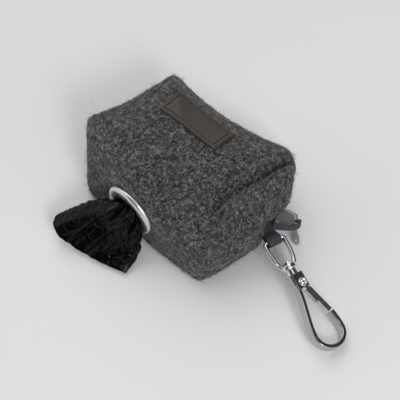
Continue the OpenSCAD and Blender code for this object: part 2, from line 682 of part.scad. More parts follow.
// The bag's two lower corners, from the eyelet, and their height above the ground
tail_right = [9.5, -18];
tail_right_z = 0.7;
tail_left = [-29, -16];
tail_left_z = 9;
eyelet_at = [eyelet_x, eyelet_y, eyelet_z];
function bag_right(t) = bezier3(eyelet_at + [3.4, 6, -4.5], eyelet_at + [3.8, -6, -3.5],
    eyelet_at + [tail_right[0] - 2.5, tail_right[1] + 5, -10],
    [eyelet_x + tail_right[0], eyelet_y + tail_right[1], tail_right_z], t);
function bag_left(t) = bezier3(eyelet_at + [-3.4, 6, -2.5], eyelet_at + [-5, -5, 1],
    eyelet_at + [tail_left[0] + 13, tail_left[1] + 4, -2],
    [eyelet_x + tail_left[0], eyelet_y + tail_left[1], tail_left_z], t);
module bag_tail() {
    color(film_color) loft([for (i = [0:bag_steps])
        let (t = i / bag_steps, a = bag_left(t), b = bag_right(t), c = (a + b) / 2)
        let (ahead = (bag_left(t + 0.02) + bag_right(t + 0.02)) / 2, run = unit(ahead - c))
        let (wide = unit(b - a), thick = unit(cross(run, wide)))
        section(c, wide, thick, norm(b - a) / 2, mix(1.8, 3.2, sin(180 * t) * 0.6 + t * 0.2), 12, 2)]);
}

top_panel();
bottom_panel();
label_patch();
eyelet_flange();
eyelet_washer();
zip_tape_upper();
zip_tape_lower();
zip_teeth_upper();
zip_teeth_lower();
zip_top_stops();
zip_bottom_stop();
tape_end_fold();
zip_slider();
slider_bridge();
pull_tab();
strap_loop();
swivel_eye();
swivel_post();
hook_body();
hook_gate();
gate_pin();
gate_spring();
roll_core();
bag_roll();
bag_tail();
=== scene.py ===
import math

import bmesh
import bpy
import numpy as np
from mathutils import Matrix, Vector
from mathutils import noise as mnoise


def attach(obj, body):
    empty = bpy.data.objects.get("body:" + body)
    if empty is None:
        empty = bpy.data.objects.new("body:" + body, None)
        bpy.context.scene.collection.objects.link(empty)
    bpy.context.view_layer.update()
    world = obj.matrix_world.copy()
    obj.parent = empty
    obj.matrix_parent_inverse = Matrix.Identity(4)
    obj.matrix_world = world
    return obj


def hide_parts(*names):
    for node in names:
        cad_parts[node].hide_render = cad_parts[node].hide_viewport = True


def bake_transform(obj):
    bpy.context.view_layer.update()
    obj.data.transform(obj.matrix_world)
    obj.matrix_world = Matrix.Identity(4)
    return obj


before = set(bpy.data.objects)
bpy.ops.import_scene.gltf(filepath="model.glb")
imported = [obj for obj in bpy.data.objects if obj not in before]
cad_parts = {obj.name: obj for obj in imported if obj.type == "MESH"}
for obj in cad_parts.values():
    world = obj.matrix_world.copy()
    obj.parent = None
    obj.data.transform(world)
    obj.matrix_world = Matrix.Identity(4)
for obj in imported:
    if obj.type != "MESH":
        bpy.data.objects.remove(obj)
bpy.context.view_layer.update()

# Lengths below are in millimetres, in the frame's axes; MM turns them to metres.
MM = 0.001

# ------------------------ sizes, as in part.scad
POUCH_L, POUCH_W, POUCH_H = 95.0, 70.0, 44.0
FELT_T = 2.5
SEAM_BACK, SEAM_LEFT, SEAM_RIGHT, SEAM_FRONT = 26.0, 24.0, 14.5, 4.5
BOXY = 3.2
FOLD_D = 5.0
ROLL_X, ROLL_L = -1.5, 58.0
EYELET_X, EYELET_Z, EYELET_R = -6.0, 22.0, 7.0
FLANGE_R, FLANGE_H, BARREL_T = 12.7, 2.2, 0.6
ZIP_FOOT_Y, ZIP_Z, ZIP_L = 7.0, 8.0, 72.0
TAPE_Z, TAPE_W, TAPE_T, TAPE_GAP = -1.6, 7.0, 0.6, 1.1
PATCH_L, PATCH_W, PATCH_T, PATCH_YAW = 33.5, 13.6, 1.2, -7.0
PATCH_X, PATCH_BACK = -3.4, 20.6
WEB_W, WEB_T, WEB_REACH = 6.4, 1.2, 6.5
STRAP_YAW, HOOK_PITCH, HOOK_ROLL = -23.2, 13.2, -18.0

# Corners as shares of length and depth, with the seam's height and wall exponent
CORNERS = [
    (-0.522, -0.096, SEAM_LEFT, 2.3),
    (-0.364, -0.377, SEAM_FRONT, 2.6),
    (0.347, -0.471, SEAM_FRONT + 1, 2.5),
    (0.482, -0.064, SEAM_RIGHT, 2.6),
    (0.476, 0.217, SEAM_RIGHT + 4, 2.8),
    (0.374, 0.474, SEAM_BACK, 2.2),
    (-0.340, 0.507, SEAM_BACK + 1, 2.2)]
EDGE_PULL = [0.5, -0.8, -0.4, 3.2, -1.2, 5.0, 0.5]
EDGE_SHARE = [7, 17, 8, 5, 5, 18, 12]
BAR = np.array([CORNERS[3][0] * POUCH_L - 2.3 + WEB_REACH, -2.0, 15.5])
ZIP_END_X = CORNERS[4][0] * POUCH_L - 2
ZIP_START_X = ZIP_END_X - ZIP_L
CHAIN_END_X = ZIP_END_X + 9


# ------------------------ small helpers
def mix(a, b, t):
    return a + (b - a) * t


def smooth(t):
    u = np.clip(t, 0.0, 1.0)
    return u * u * (3 - 2 * u)


def unit(v):
    v = np.asarray(v, float)
    return v / np.linalg.norm(v)


def units(rows):
    """Vectors along the last axis, each brought to length 1."""
    return rows / np.maximum(np.linalg.norm(rows, axis=-1, keepdims=True), 1e-9)


def bezier3(a, b, c, d, t):
    """Points of a cubic curve at the shares t."""
    a, b, c, d = (np.asarray(p, float) for p in (a, b, c, d))
    t = np.atleast_1d(t)[:, None]
    u = 1 - t
    return a * u ** 3 + 3 * b * u * u * t + 3 * c * u * t * t + d * t ** 3


def rounded_path(points, per_step):
    """Smooth curve through points (Catmull-Rom)."""
    p = np.asarray(points, float)
    p = np.vstack([2 * p[0] - p[1], p, 2 * p[-1] - p[-2]])
    out = []
    for a, b, c, d in zip(p[:-3], p[1:-2], p[2:-1], p[3:]):
        for t in np.arange(per_step) / per_step:
            out.append(0.5 * (2 * b + (c - a) * t + (2 * a - 5 * b + 4 * c - d) * t * t
                              + (3 * b - a - 3 * c + d) * t ** 3))
    out.append(p[-2])
    return np.array(out)


def rot(axis, degrees):
    """Matrix of a turn about an axis."""
    x, y, z = unit(axis)
    c, s = math.cos(math.radians(degrees)), math.sin(math.radians(degrees))
    k = 1 - c
    return np.array([
        [c + x * x * k, x * y * k - z * s, x * z * k + y * s],
        [y * x * k + z * s, c + y * y * k, y * z * k - x * s],
        [z * x * k - y * s, z * y * k + x * s, c + z * z * k]])


X, Y, Z = (1, 0, 0), (0, 1, 0), (0, 0, 1)


def mesh_object(name, verts, faces, material, smooth_faces=True):
    """A mesh object from points in millimetres."""
    mesh = bpy.data.meshes.new(name)
    mesh.from_pydata((np.asarray(verts) * MM).tolist(), [], [tuple(map(int, f)) for f in faces])
    mesh.validate()
    obj = bpy.data.objects.new(name, mesh)
    bpy.context.scene.collection.objects.link(obj)
    mesh.materials.append(material)
    mesh.polygons.foreach_set("use_smooth", [smooth_faces] * len(mesh.polygons))
    return obj


def clean(mesh):
    """Welds points that coincide, then drops pairs of triangles lying back to back."""
    work = bmesh.new()
    work.from_mesh(mesh)
    bmesh.ops.remove_doubles(work, verts=work.verts, dist=1e-7)
    bmesh.ops.triangulate(work, faces=work.faces)
    same = {}
    for face in work.faces:
        same.setdefault(frozenset(corner.index for corner in face.verts), []).append(face)
    doubled = [face for faces in same.values() if len(faces) > 1 for face in faces]
    bmesh.ops.delete(work, geom=doubled, context="FACES")
    work.to_mesh(mesh)
    work.free()


def grid_faces(rows, cols, wrap_rows=False, wrap_cols=False, flip=False, start=0):
    """Quads of a grid of points numbered row by row."""
    faces = []
    for i in range(rows if wrap_rows else rows - 1):
        for j in range(cols if wrap_cols else cols - 1):
            a = start + i * cols + j
            b = start + i * cols + (j + 1) % cols
            c = start + ((i + 1) % rows) * cols + (j + 1) % cols
            d = start + ((i + 1) % rows) * cols + j
            faces.append((a, d, c, b) if flip else (a, b, c, d))
    return faces


def winds_inward(verts, faces):
    """True for a closed skin of triangles and quads whose faces look inwards."""
    a, b, c, d = np.moveaxis(verts[np.array([(*face, face[-1])[:4] for face in faces])], 1, 0)
    return np.sum(a * (np.cross(b, c) + np.cross(c, d))) < 0


def capped_faces(rows, cols, start=0, flip=False):
    """Faces of a tube of rings, each end closed on a point that follows the rings."""
    faces = grid_faces(rows, cols, wrap_cols=True, flip=flip, start=start)
    first = start + rows * cols
    for j in range(cols):
        k = (j + 1) % cols
        caps = [(start + k, start + j, first), (first - cols + j, first - cols + k, first + 1)]
        faces.extend(cap[::-1] if flip else cap for cap in caps)
    return faces


def loft(name, rings, material, closed=False):
    """A skin through rings of equal length, capped at both ends unless closed."""
    rings = np.asarray(rings)
    rows, cols = rings.shape[:2]
    verts = rings.reshape(-1, 3)
    if closed:
        faces = grid_faces(rows, cols, wrap_rows=True, wrap_cols=True)
    else:
        verts = np.vstack([verts, rings[0].mean(0), rings[-1].mean(0)])
        faces = capped_faces(rows, cols)
    if winds_inward(verts, faces):
        faces = [face[::-1] for face in faces]
    return mesh_object(name, verts, faces, material)


def section(centre, u, v, a, b, count, power):
    """Rounded section with half sizes a and b along u and v."""
    t = np.radians(np.arange(count) * 360.0 / count)
    cu, cv = np.cos(t), np.sin(t)
    pu = np.sign(cu) * np.abs(cu) ** (2 / power)
    pv = np.sign(cv) * np.abs(cv) ** (2 / power)
    return centre + np.outer(pu * a, u) + np.outer(pv * b, v)


def revolve(name, profile, to_world, material, steps):
    """A ring turned from a closed profile of (radius, height) pairs."""
    profile = np.asarray(profile, float)
    rings = []
    for k in range(steps):
        t = 2 * math.pi * k / steps
        ring = np.stack([profile[:, 0] * math.cos(t), profile[:, 0] * math.sin(t), profile[:, 1]], 1)
        rings.append(to_world(ring))
    return loft(name, rings, material, closed=True)


def prism(name, outline, low, high, place, look):
    """Outline in X and Y raised from low to high in Z, then placed."""
    outline = np.asarray(outline, float)
    count = len(outline)
    verts = np.concatenate([np.column_stack([outline, np.full(count, h)]) for h in (low, high)])
    faces = [(j, (j + 1) % count, count + (j + 1) % count, count + j) for j in range(count)]
    faces += [tuple(range(count - 1, -1, -1)), tuple(range(count, 2 * count))]
    return mesh_object(name, place(verts), faces, look, False)


# ------------------------ materials
def material(name, build):
    """A Principled material whose build function wires its nodes."""
    mat = bpy.data.materials.new(name)
    mat.use_nodes = True
    build(mat.node_tree, mat.node_tree.nodes["Principled BSDF"])
    return mat


def put(tree, socket, value):
    """Links a node's output to a socket, or sets the socket to a number or a colour."""
    if isinstance(value, bpy.types.NodeSocket):
        tree.links.new(value, socket)
    else:
        socket.default_value = (*value, 1) if isinstance(value, tuple) else value


def paint(tree, shader, color, rough, **others):
    """Sets the shader's colour, its roughness and any other sockets by name."""
    put(tree, shader.inputs["Base Color"], color)
    put(tree, shader.inputs["Roughness"], rough)
    for name, value in others.items():
        put(tree, shader.inputs[name.replace("_", " ")], value)


def position(tree, scale=(1, 1, 1)):
    """Object coordinates, which are the frame's own, in metres times scale."""
    coord = tree.nodes.new("ShaderNodeTexCoord")
    mapping = tree.nodes.new("ShaderNodeMapping")
    mapping.inputs["Scale"].default_value = scale
    tree.links.new(coord.outputs["Object"], mapping.inputs["Vector"])
    return mapping.outputs["Vector"]


def noise(tree, vector, scale, detail=3.0, rough=0.6, distortion=0.0):
    node = tree.nodes.new("ShaderNodeTexNoise")
    sockets = ("Vector", "Scale", "Detail", "Roughness", "Distortion")
    for name, value in zip(sockets, (vector, scale, detail, rough, distortion)):
        put(tree, node.inputs[name], value)
    return node.outputs["Fac"]


def ramp(tree, value, stops):
    """Colour by value: stops are (place, colour), or (place, (grey,))."""
    node = tree.nodes.new("ShaderNodeValToRGB")
    elements = node.color_ramp.elements
    while len(elements) < len(stops):
        elements.new(0.5)
    for element, (at, color) in zip(elements, stops):
        element.position = at
        element.color = (*color, 1) if len(color) == 3 else (color[0],) * 3 + (1,)
    tree.links.new(value, node.inputs["Fac"])
    return node.outputs["Color"]


def math_node(tree, operation, a, b):
    node = tree.nodes.new("ShaderNodeMath")
    node.operation = operation
    put(tree, node.inputs[0], a)
    put(tree, node.inputs[1], b)
    return node.outputs["Value"]


def mix_color(tree, fac, a, b, blend="MIX"):
    node = tree.nodes.new("ShaderNodeMixRGB")
    node.blend_type = blend
    for socket, value in zip(node.inputs, (fac, a, b)):
        put(tree, socket, value)
    return node.outputs["Color"]


def bump(tree, shader, height, strength, distance):
    node = tree.nodes.new("ShaderNodeBump")
    node.inputs["Strength"].default_value = strength
    node.inputs["Distance"].default_value = distance
    tree.links.new(height, node.inputs["Height"])
    tree.links.new(node.outputs["Normal"], shader.inputs["Normal"])


def felt_look(tree, shader):
    """Grey wool: light and dark specks, denser in tufts and broad clouds."""
    at = position(tree)
    speck = noise(tree, at, 850, 4, 0.75, 0.8)
    tuft = noise(tree, at, 420, 3, 0.6, 0.8)
    cloud = noise(tree, at, 60, 3, 0.6)
    grain = ramp(tree, speck, [(0.38, (0.004,)), (0.47, (0.018,)), (0.54, (0.062,)), (0.64, (0.310,))])
    patchy = ramp(tree, tuft, [(0.35, (0.62,)), (0.65, (1.35,))])
    broad = ramp(tree, cloud, [(0.35, (0.85,)), (0.65, (1.12,))])
    color = grain
    for layer in (patchy, broad, (1.0, 0.985, 0.955)):
        color = mix_color(tree, 1.0, color, layer, "MULTIPLY")
    paint(tree, shader, color, 0.95, Specular_IOR_Level=0.15, Sheen_Weight=0.25, Sheen_Roughness=0.6)
    height = math_node(tree, "ADD", speck, tuft)
    bump(tree, shader, height, 0.9, 0.0006)


def fibre_look(shade):
    """Wool fibres of one shade, darker and lighter in places."""
    def build(tree, shader):
        at = position(tree)
        tone = noise(tree, at, 480, 3, 0.7)
        color = ramp(tree, tone, [(0.38, (shade * 0.2,)), (0.62, (shade * 1.9,))])
        paint(tree, shader, color, 0.8, Specular_IOR_Level=0.2)
    return build


def leather_look(tree, shader):
    at = position(tree)
    grain = tree.nodes.new("ShaderNodeTexVoronoi")
    grain.inputs["Scale"].default_value = 2300
    tree.links.new(at, grain.inputs["Vector"])
    cloud = noise(tree, at, 160, 4, 0.6)
    color = ramp(tree, cloud, [(0.3, (0.040, 0.030, 0.023)), (0.7, (0.058, 0.043, 0.034))])
    rough = ramp(tree, cloud, [(0.3, (0.5,)), (0.7, (0.62,))])
    paint(tree, shader, color, rough)
    bump(tree, shader, grain.outputs["Distance"], 0.25, 0.0002)


def metal_look(color, rough):
    """Plated metal, a little duller and darker in streaks."""
    def build(tree, shader):
        at = position(tree)
        streak = noise(tree, at, 500, 4, 0.65)
        tint = ramp(tree, streak, [(0.3, tuple(c * 0.92 for c in color)), (0.7, color)])
        polish = ramp(tree, streak, [(0.35, (rough,)), (0.75, (rough + 0.06,))])
        paint(tree, shader, tint, polish, Metallic=1.0)
        bump(tree, shader, streak, 0.08, 0.00005)
    return build


def woven_look(color, pitch):
    """Fine weave: two crossed waves of thread at the given pitch in millimetres."""
    def build(tree, shader):
        at = position(tree, (1 / (pitch * MM),) * 3)
        waves = []
        for direction in ("X", "DIAGONAL"):
            wave = tree.nodes.new("ShaderNodeTexWave")
            wave.bands_direction = direction
            wave.inputs["Scale"].default_value = 0.3
            wave.inputs["Distortion"].default_value = 0.4
            tree.links.new(at, wave.inputs["Vector"])
            waves.append(wave.outputs["Fac"])
        weave = math_node(tree, "MULTIPLY", waves[0], waves[1])
        tone = ramp(tree, weave, [(0.0, tuple(c * 0.8 for c in color)),
                                  (0.8, tuple(c * 1.15 for c in color))])
        paint(tree, shader, tone, 0.8)
        bump(tree, shader, weave, 0.5, 0.0001)
    return build


def film_look(tree, shader):
    """Thin black film with a fine crinkle."""
    at = position(tree)
    haze = noise(tree, at, 240, 5, 0.6, 1.0)
    crinkle = noise(tree, at, 700, 4, 0.6, 1.5)
    color = ramp(tree, haze, [(0.3, (0.0015, 0.0015, 0.0013)), (0.7, (0.003, 0.003, 0.0026))])
    rough = ramp(tree, haze, [(0.35, (0.13,)), (0.7, (0.26,))])
    paint(tree, shader, color, rough, Specular_IOR_Level=0.12)
    bump(tree, shader, crinkle, 0.2, 0.0003)


def paper_look(tree, shader):
    at = position(tree)
    fibre = noise(tree, at, 900, 4, 0.7)
    color = ramp(tree, fibre, [(0.3, (0.30, 0.22, 0.14)), (0.7, (0.44, 0.33, 0.22))])
    paint(tree, shader, color, 0.9)
    bump(tree, shader, fibre, 0.3, 0.0001)


FELT = material("wool_felt", felt_look)
FIBRE_LIGHT = material("fibre_light", fibre_look(0.28))
FIBRE_PALE = material("fibre_pale", fibre_look(0.42))
FIBRE_DARK = material("fibre_dark", fibre_look(0.035))
LEATHER = material("patch_leather", leather_look)
SATIN = material("satin_nickel", metal_look((0.72, 0.72, 0.72), 0.27))
BRIGHT = material("bright_nickel", metal_look((0.80, 0.79, 0.77), 0.10))
BRUSHED = material("brushed_nickel", metal_look((0.80, 0.79, 0.77), 0.42))
BLACK_NICKEL = material("black_nickel", metal_look((0.52, 0.51, 0.50), 0.09))
TAPE = material("zip_tape", woven_look((0.062, 0.054, 0.068), 0.32))
WEBBING = material("webbing", woven_look((0.052, 0.046, 0.060), 0.38))
FILM = material("bag_film", film_look)
PAPER = material("paper_core", paper_look)

NODE_LOOKS = {
    "eyelet_flange": SATIN, "eyelet_washer": SATIN, "zip_tape_upper": TAPE, "zip_tape_lower": TAPE,
    "tape_end_fold": TAPE, "zip_teeth_upper": BRIGHT, "zip_teeth_lower": BRIGHT,
    "zip_top_stops": BRIGHT, "zip_bottom_stop": BRIGHT, "zip_slider": BRUSHED, "slider_bridge": BRIGHT,
    "pull_tab": BRUSHED, "strap_loop": WEBBING, "swivel_eye": BRIGHT, "swivel_post": BRIGHT,
    "hook_body": BLACK_NICKEL, "hook_gate": BRIGHT, "gate_pin": BRIGHT, "gate_spring": BLACK_NICKEL,
    "roll_core": PAPER, "bag_roll": FILM, "bag_tail": FILM, "label_patch": LEATHER,
    "top_panel": FELT, "bottom_panel": FELT}
for node_name, look in NODE_LOOKS.items():
    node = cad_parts[node_name]
    node.data.materials.clear()
    node.data.materials.append(look)


# ------------------------ the pouch's form
# The felt slackens between its pinched corners: wall exponent at the middle of
# each edge, how much further the middle draws in, and how far each corner sinks
SLACK_BOXY = [BOXY, BOXY, BOXY, BOXY, BOXY, 2.15, 2.0]
SLACK_PULL = [0, 0, 0, 0, 0, -0.3, 1.0]
SLACK_SINK = [1.5, 0, 0, 0, 0, 1.0, 1.0]
SLACK_TOP = 2.0
# How far the patch slips forward on the slack felt
SLACK_PATCH = 0.8
PATCH_Y = CORNERS[6][1] * POUCH_W - PATCH_BACK - SLACK_PATCH


def rim_points(per_share, passes):
    """The seam line round the pouch: rows of x, y, height and wall exponent."""
    rows = []
    for i, share in enumerate(EDGE_SHARE):
        a, b = CORNERS[i], CORNERS[(i + 1) % len(CORNERS)]
        za, zb = a[2] - SLACK_SINK[i], b[2] - SLACK_SINK[(i + 1) % len(CORNERS)]
        pa = np.array([a[0] * POUCH_L, a[1] * POUCH_W])
        pb = np.array([b[0] * POUCH_L, b[1] * POUCH_W])
        side = unit(pb - pa)
        inward = np.array([-side[1], side[0]])
        for k in range(share * per_share):
            t = k / (share * per_share)
            bow = 4 * t * (1 - t)
            p = mix(pa, pb, t) + inward * (EDGE_PULL[i] + SLACK_PULL[i]) * bow
            rows.append((p[0], p[1], mix(za, zb, smooth(t)), mix(mix(a[3], b[3], t), SLACK_BOXY[i], bow)))
    rows = np.array(rows)
    for _ in range(passes):
        rows = (np.roll(rows, 1, 0) + 2 * rows + np.roll(rows, -1, 0)) / 4
    return rows


FOLD_X = ROLL_X + ROLL_L / 2
FOLD_SKEW, FOLD_Y0, FOLD_Y1 = 0.21, -22.0, -6.0


def fold_drop(x, y):
    """How far the top falls away beyond the roll's end, as in part.scad."""
    d = x - (FOLD_X + (y - FOLD_Y0) * FOLD_SKEW)
    fade = smooth((y - FOLD_Y0) / (FOLD_Y1 - FOLD_Y0))
    before = np.exp(-np.minimum(d, 0) ** 2 / 8)
    after = 0.35 + 0.65 * np.exp(-np.maximum(d, 0) / 6)
    return FOLD_D * fade * np.where(d < 0, before, after)


FRONT_A = np.array([CORNERS[1][0] * POUCH_L, CORNERS[1][1] * POUCH_W])
FRONT_B = np.array([CORNERS[2][0] * POUCH_L, CORNERS[2][1] * POUCH_W])
EYELET_YAW = math.degrees(math.atan2(*(FRONT_B - FRONT_A)[::-1])) - 2
EYELET_Y = float(mix(FRONT_A[1], FRONT_B[1], (EYELET_X - FRONT_A[0]) / (FRONT_B[0] - FRONT_A[0])))


def seat_eyelet(p, depth):
    """Draws the front wall flat where the eyelet sits."""
    away = np.hypot(p[..., 0] - EYELET_X, p[..., 2] - EYELET_Z)
    w = np.where(p[..., 1] < 0, 1 - smooth((away - FLANGE_R - 3) / 7), 0)
    flat = EYELET_Y + depth + (p[..., 0] - EYELET_X) * math.tan(math.radians(EYELET_YAW))
    p[..., 1] = mix(p[..., 1], flat, w)
    return p


# The round underside would reach this deep, and the ground flattens it
KEEL_Z = -1.6


def felt_grid(rim, angle, upper, depth=0.0):
    """Skin points: one row for each angle above (or below) the seam."""
    angle = np.radians(np.asarray(angle))[:, None]
    e = 2 / rim[None, :, 3]
    s, h = np.cos(angle) ** e, np.sin(angle) ** e
    x, y = rim[None, :, 0] * s, rim[None, :, 1] * s
    if upper:
        z = mix(rim[None, :, 2], POUCH_H - SLACK_TOP - depth - fold_drop(x, y), h)
    else:
        round_z = mix(rim[None, :, 2], KEEL_Z, h)
        slope = y - ZIP_FOOT_Y + depth * math.sqrt(2)
        z = np.minimum(rim[None, :, 2], np.maximum(np.maximum(depth, round_z), slope))
    return seat_eyelet(np.stack([x, y, z], -1), depth)


# ------------------------ felt body
TYPICAL_REACH, TYPICAL_RISE, TYPICAL_POWER = 38, 20, 0.74


def even_angles(count):
    """Angles from the seam to the middle, evenly spaced along a typical section."""
    fine = np.linspace(0, 90, 2001)
    c = np.abs(np.cos(np.radians(fine))) ** TYPICAL_POWER
    h = np.sin(np.radians(fine)) ** TYPICAL_POWER
    run = np.concatenate([[0], np.cumsum(np.hypot(TYPICAL_REACH * np.diff(c), TYPICAL_RISE * np.diff(h)))])
    return np.interp(np.linspace(0, run[-1], count), run, fine)


def noise_field(points, size, seed):
    """Smooth noise from -1 to 1 with features of about the given size."""
    shift = Vector((seed * 17.3, seed * 5.1, seed * 9.7))
    return np.array([mnoise.noise(Vector(p) / size + shift) for p in points.reshape(-1, 3)]).reshape(
        points.shape[:-1])


def grid_normals(g):
    """Normals of a grid of points that closes round its columns."""
    along = np.roll(g, -1, 1) - np.roll(g, 1, 1)
    return units(np.cross(along, np.gradient(g, axis=0)))


# The crease's line over the top, and the form of its valley and lip
CREASE_Y = [-17.0, -10.0, -4.5, 0.6, 5.6, 10.8, 16.0, 21.1, 27.7]
CREASE_X = [27.3, 26.9, 27.9, 29.3, 30.9, 32.3, 33.9, 35.7, 37.1]
VALLEY_D, VALLEY_LEFT, VALLEY_RIGHT = 4.2, 3.6, 1.3
LIP_H, LIP_AT, LIP_W = 2.6, 4.2, 2.3


def crease(x, y):
    """The pinched fold at the roll's end: a slow fall, then a sharp lip."""
    d = x - np.interp(y, CREASE_Y, CREASE_X)
    fade = smooth((y + 20) / 9) * (1 - smooth((y - 26) / 8)) * (1 + 0.35 * (1 - smooth((y + 6) / 14)))
    valley = np.exp(-(d / np.where(d < 0, VALLEY_LEFT, VALLEY_RIGHT)) ** 2)
    lip = np.exp(-((d - LIP_AT) / LIP_W) ** 2)
    return fade * (LIP_H * lip - VALLEY_D * valley)


def near_patch(p):
    """1 under the label patch, falling to 0 just outside it."""
    t = math.radians(PATCH_YAW)
    dx, dy = p[..., 0] - PATCH_X, p[..., 1] - PATCH_Y
    u, v = dx * math.cos(t) + dy * math.sin(t), -dx * math.sin(t) + dy * math.cos(t)
    out = np.maximum(np.abs(u) - PATCH_L / 2, np.abs(v) - PATCH_W / 2)
    return (1 - smooth(out / 1.5)) * (p[..., 2] > 30)


SEAM_D = 0.32


def felt_skin(rim, rows_low, rows_top):
    """The outer skin from below to the crown, with crease, swells, tufts and seam."""
    low = felt_grid(rim, even_angles(rows_low)[1:], False)[::-1]
    top = felt_grid(rim, even_angles(rows_top), True)
    g = np.concatenate([low, top])
    upper = np.arange(len(g)) >= len(low)
    g[upper, :, 2] += crease(g[upper, :, 0], g[upper, :, 1])
    n = grid_normals(g)
    away = np.hypot(g[..., 0] - EYELET_X, g[..., 2] - EYELET_Z)
    eyelet = np.where(g[..., 1] < -15, 1 - smooth((away - FLANGE_R) / 3), 0)
    calm = 1 - np.maximum(0.9 * near_patch(g), eyelet)
    swell = 0.55 * noise_field(g, 15, 1) + 0.26 * noise_field(g, 5.5, 2)
    tuft = 0.20 * noise_field(g, 2.1, 3) + 0.14 * noise_field(g, 1.1, 4)
    side = np.where(upper, 0.6, 0.3)[:, None]
    g = g + n * ((swell * side - 0.12) * calm + tuft * (0.35 + 0.65 * calm))[..., None]
    seam = np.exp(-((np.arange(len(g)) - len(low)) / 1.6) ** 2)[:, None, None]
    g = g - n * SEAM_D * seam
    g[..., 2] = np.maximum(g[..., 2], 0.02)
    return g


def box_cutter(name, low, high, place, turn):
    """A box from corner low to corner high, turned and placed."""
    corners = np.array([[x, y, z] for x in (low[0], high[0]) for y in (low[1], high[1])
                        for z in (low[2], high[2])], float)
    faces = [(0, 1, 3, 2), (4, 6, 7, 5), (0, 4, 5, 1), (2, 3, 7, 6), (0, 2, 6, 4), (1, 5, 7, 3)]
    return mesh_object(name, corners @ turn.T + place, faces, FELT, False)


def apply_modifiers(obj):
    """Gives the object the mesh that its modifiers make."""
    graph = bpy.context.evaluated_depsgraph_get()
    mesh = bpy.data.meshes.new_from_object(obj.evaluated_get(graph))
    obj.modifiers.clear()
    obj.data = mesh


def cut_away(obj, tools):
    """Cuts the tools out of an object and deletes them."""
    for tool in tools:
        modifier = obj.modifiers.new(tool.name, "BOOLEAN")
        modifier.operation = "DIFFERENCE"
        modifier.solver = "EXACT"
        modifier.object = tool
    apply_modifiers(obj)
    clean(obj.data)
    for tool in tools:
        bpy.data.objects.remove(tool)


EYELET_TURN = rot(Z, EYELET_YAW) @ rot(X, 90)
EYELET_PLACE = np.array([EYELET_X, EYELET_Y, EYELET_Z])
ZIP_TURN = rot(X, -135)
ZIP_PLACE = np.array([0, ZIP_FOOT_Y + ZIP_Z, ZIP_Z])
BAR_TURN = rot(Z, STRAP_YAW)
EYE_TURN = BAR_TURN @ rot(Y, HOOK_PITCH)
HOOK_TURN = EYE_TURN @ rot(X, HOOK_ROLL)


def to_eyelet(points):
    return np.asarray(points, float) @ EYELET_TURN.T + EYELET_PLACE


def to_zip(points):
    return np.asarray(points, float) @ ZIP_TURN.T + ZIP_PLACE


def to_eye(points):
    return np.asarray(points, float) @ EYE_TURN.T + BAR


def to_hook(points):
    return np.asarray(points, float) @ HOOK_TURN.T + BAR


# Room cut into the felt for the eyelet's barrel, the zip, its tapes and the strap's root
HOLE_SPARE, HOLE_REACH, HOLE_STEPS = 0.15, 9, 64
SLOT_W, SLOT_REACH, SLOT_AFTER = 8.6, 8, 20
REBATE_SPARE, REBATE_LOW, REBATE_HIGH = 0.85, -2.8, -1.2
REBATE_BEFORE, REBATE_AFTER = 3.2, 27
POCKET_BACK, POCKET_FRONT, POCKET_SPARE = 3.1, 3, 0.1
POCKET_LOW, POCKET_HIGH = -2.29, 0.29


def felt_inside():
    """The shell's inner skin, one thickness of felt inside a softened rim."""
    rim = rim_points(6, 160)
    tangent = np.roll(rim, -1, 0) - np.roll(rim, 1, 0)
    rim[:, :2] -= units(np.stack([tangent[:, 1], -tangent[:, 0]], 1)) * FELT_T
    rim = rim[::3]
    return np.concatenate([felt_grid(rim, even_angles(14)[1:], False, FELT_T)[::-1],
                           felt_grid(rim, even_angles(20), True, FELT_T)])


def felt_cutters():
    t = np.radians(np.arange(HOLE_STEPS) * 360 / HOLE_STEPS)
    hole_r = EYELET_R + BARREL_T + HOLE_SPARE
    ring = np.stack([hole_r * np.cos(t), hole_r * np.sin(t)], 1)
    hole = prism("hole", ring, -HOLE_REACH, HOLE_REACH, to_eyelet, FELT)
    slot = box_cutter("slot", (ZIP_START_X, -SLOT_W / 2, -SLOT_REACH),
                      (ZIP_END_X + SLOT_AFTER, SLOT_W / 2, SLOT_REACH), ZIP_PLACE, ZIP_TURN)
    side = TAPE_W + REBATE_SPARE
    rebate = box_cutter("rebate", (ZIP_START_X - REBATE_BEFORE, -side, REBATE_LOW),
                        (ZIP_END_X + REBATE_AFTER, side, REBATE_HIGH), ZIP_PLACE, ZIP_TURN)
    side = WEB_W / 2 + POCKET_SPARE
    pocket = box_cutter("pocket", (-WEB_REACH - POCKET_BACK, -side, POCKET_LOW),
                        (-WEB_REACH + POCKET_FRONT, side, POCKET_HIGH), BAR, BAR_TURN)
    return [hole, slot, rebate, pocket]


def make_felt(outer):
    verts, faces = [], []
    for g, inside in ((outer[1:-1], False), (felt_inside()[1:-1], True)):
        rows, cols = g.shape[:2]
        start = len(verts)
        verts.extend(g.reshape(-1, 3).tolist())
        verts.append(g[0].mean(0).tolist())
        verts.append(g[-1].mean(0).tolist())
        faces.extend(capped_faces(rows, cols, start, inside))
    felt = mesh_object("felt_body", verts, faces, FELT)
    cut_away(felt, felt_cutters())
    felt.data.polygons.foreach_set("use_smooth", [True] * len(felt.data.polygons))
    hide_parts("top_panel", "bottom_panel")
    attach(felt, "pouch")


# ------------------------ loose fibres
FIBRE_TAPER = [0.5, 1, 1, 1, 0.8, 0.3]
FIBRE_STEPS, FIBRE_SIDES = len(FIBRE_TAPER), 3
# Beside the zip no fibre stands in the teeth's slot or under the pull tab as it passes
TEETH_SIDE, TAB_SIDE, TAB_LOW, TAB_HIGH = 4.0, 13, 0.3, 5


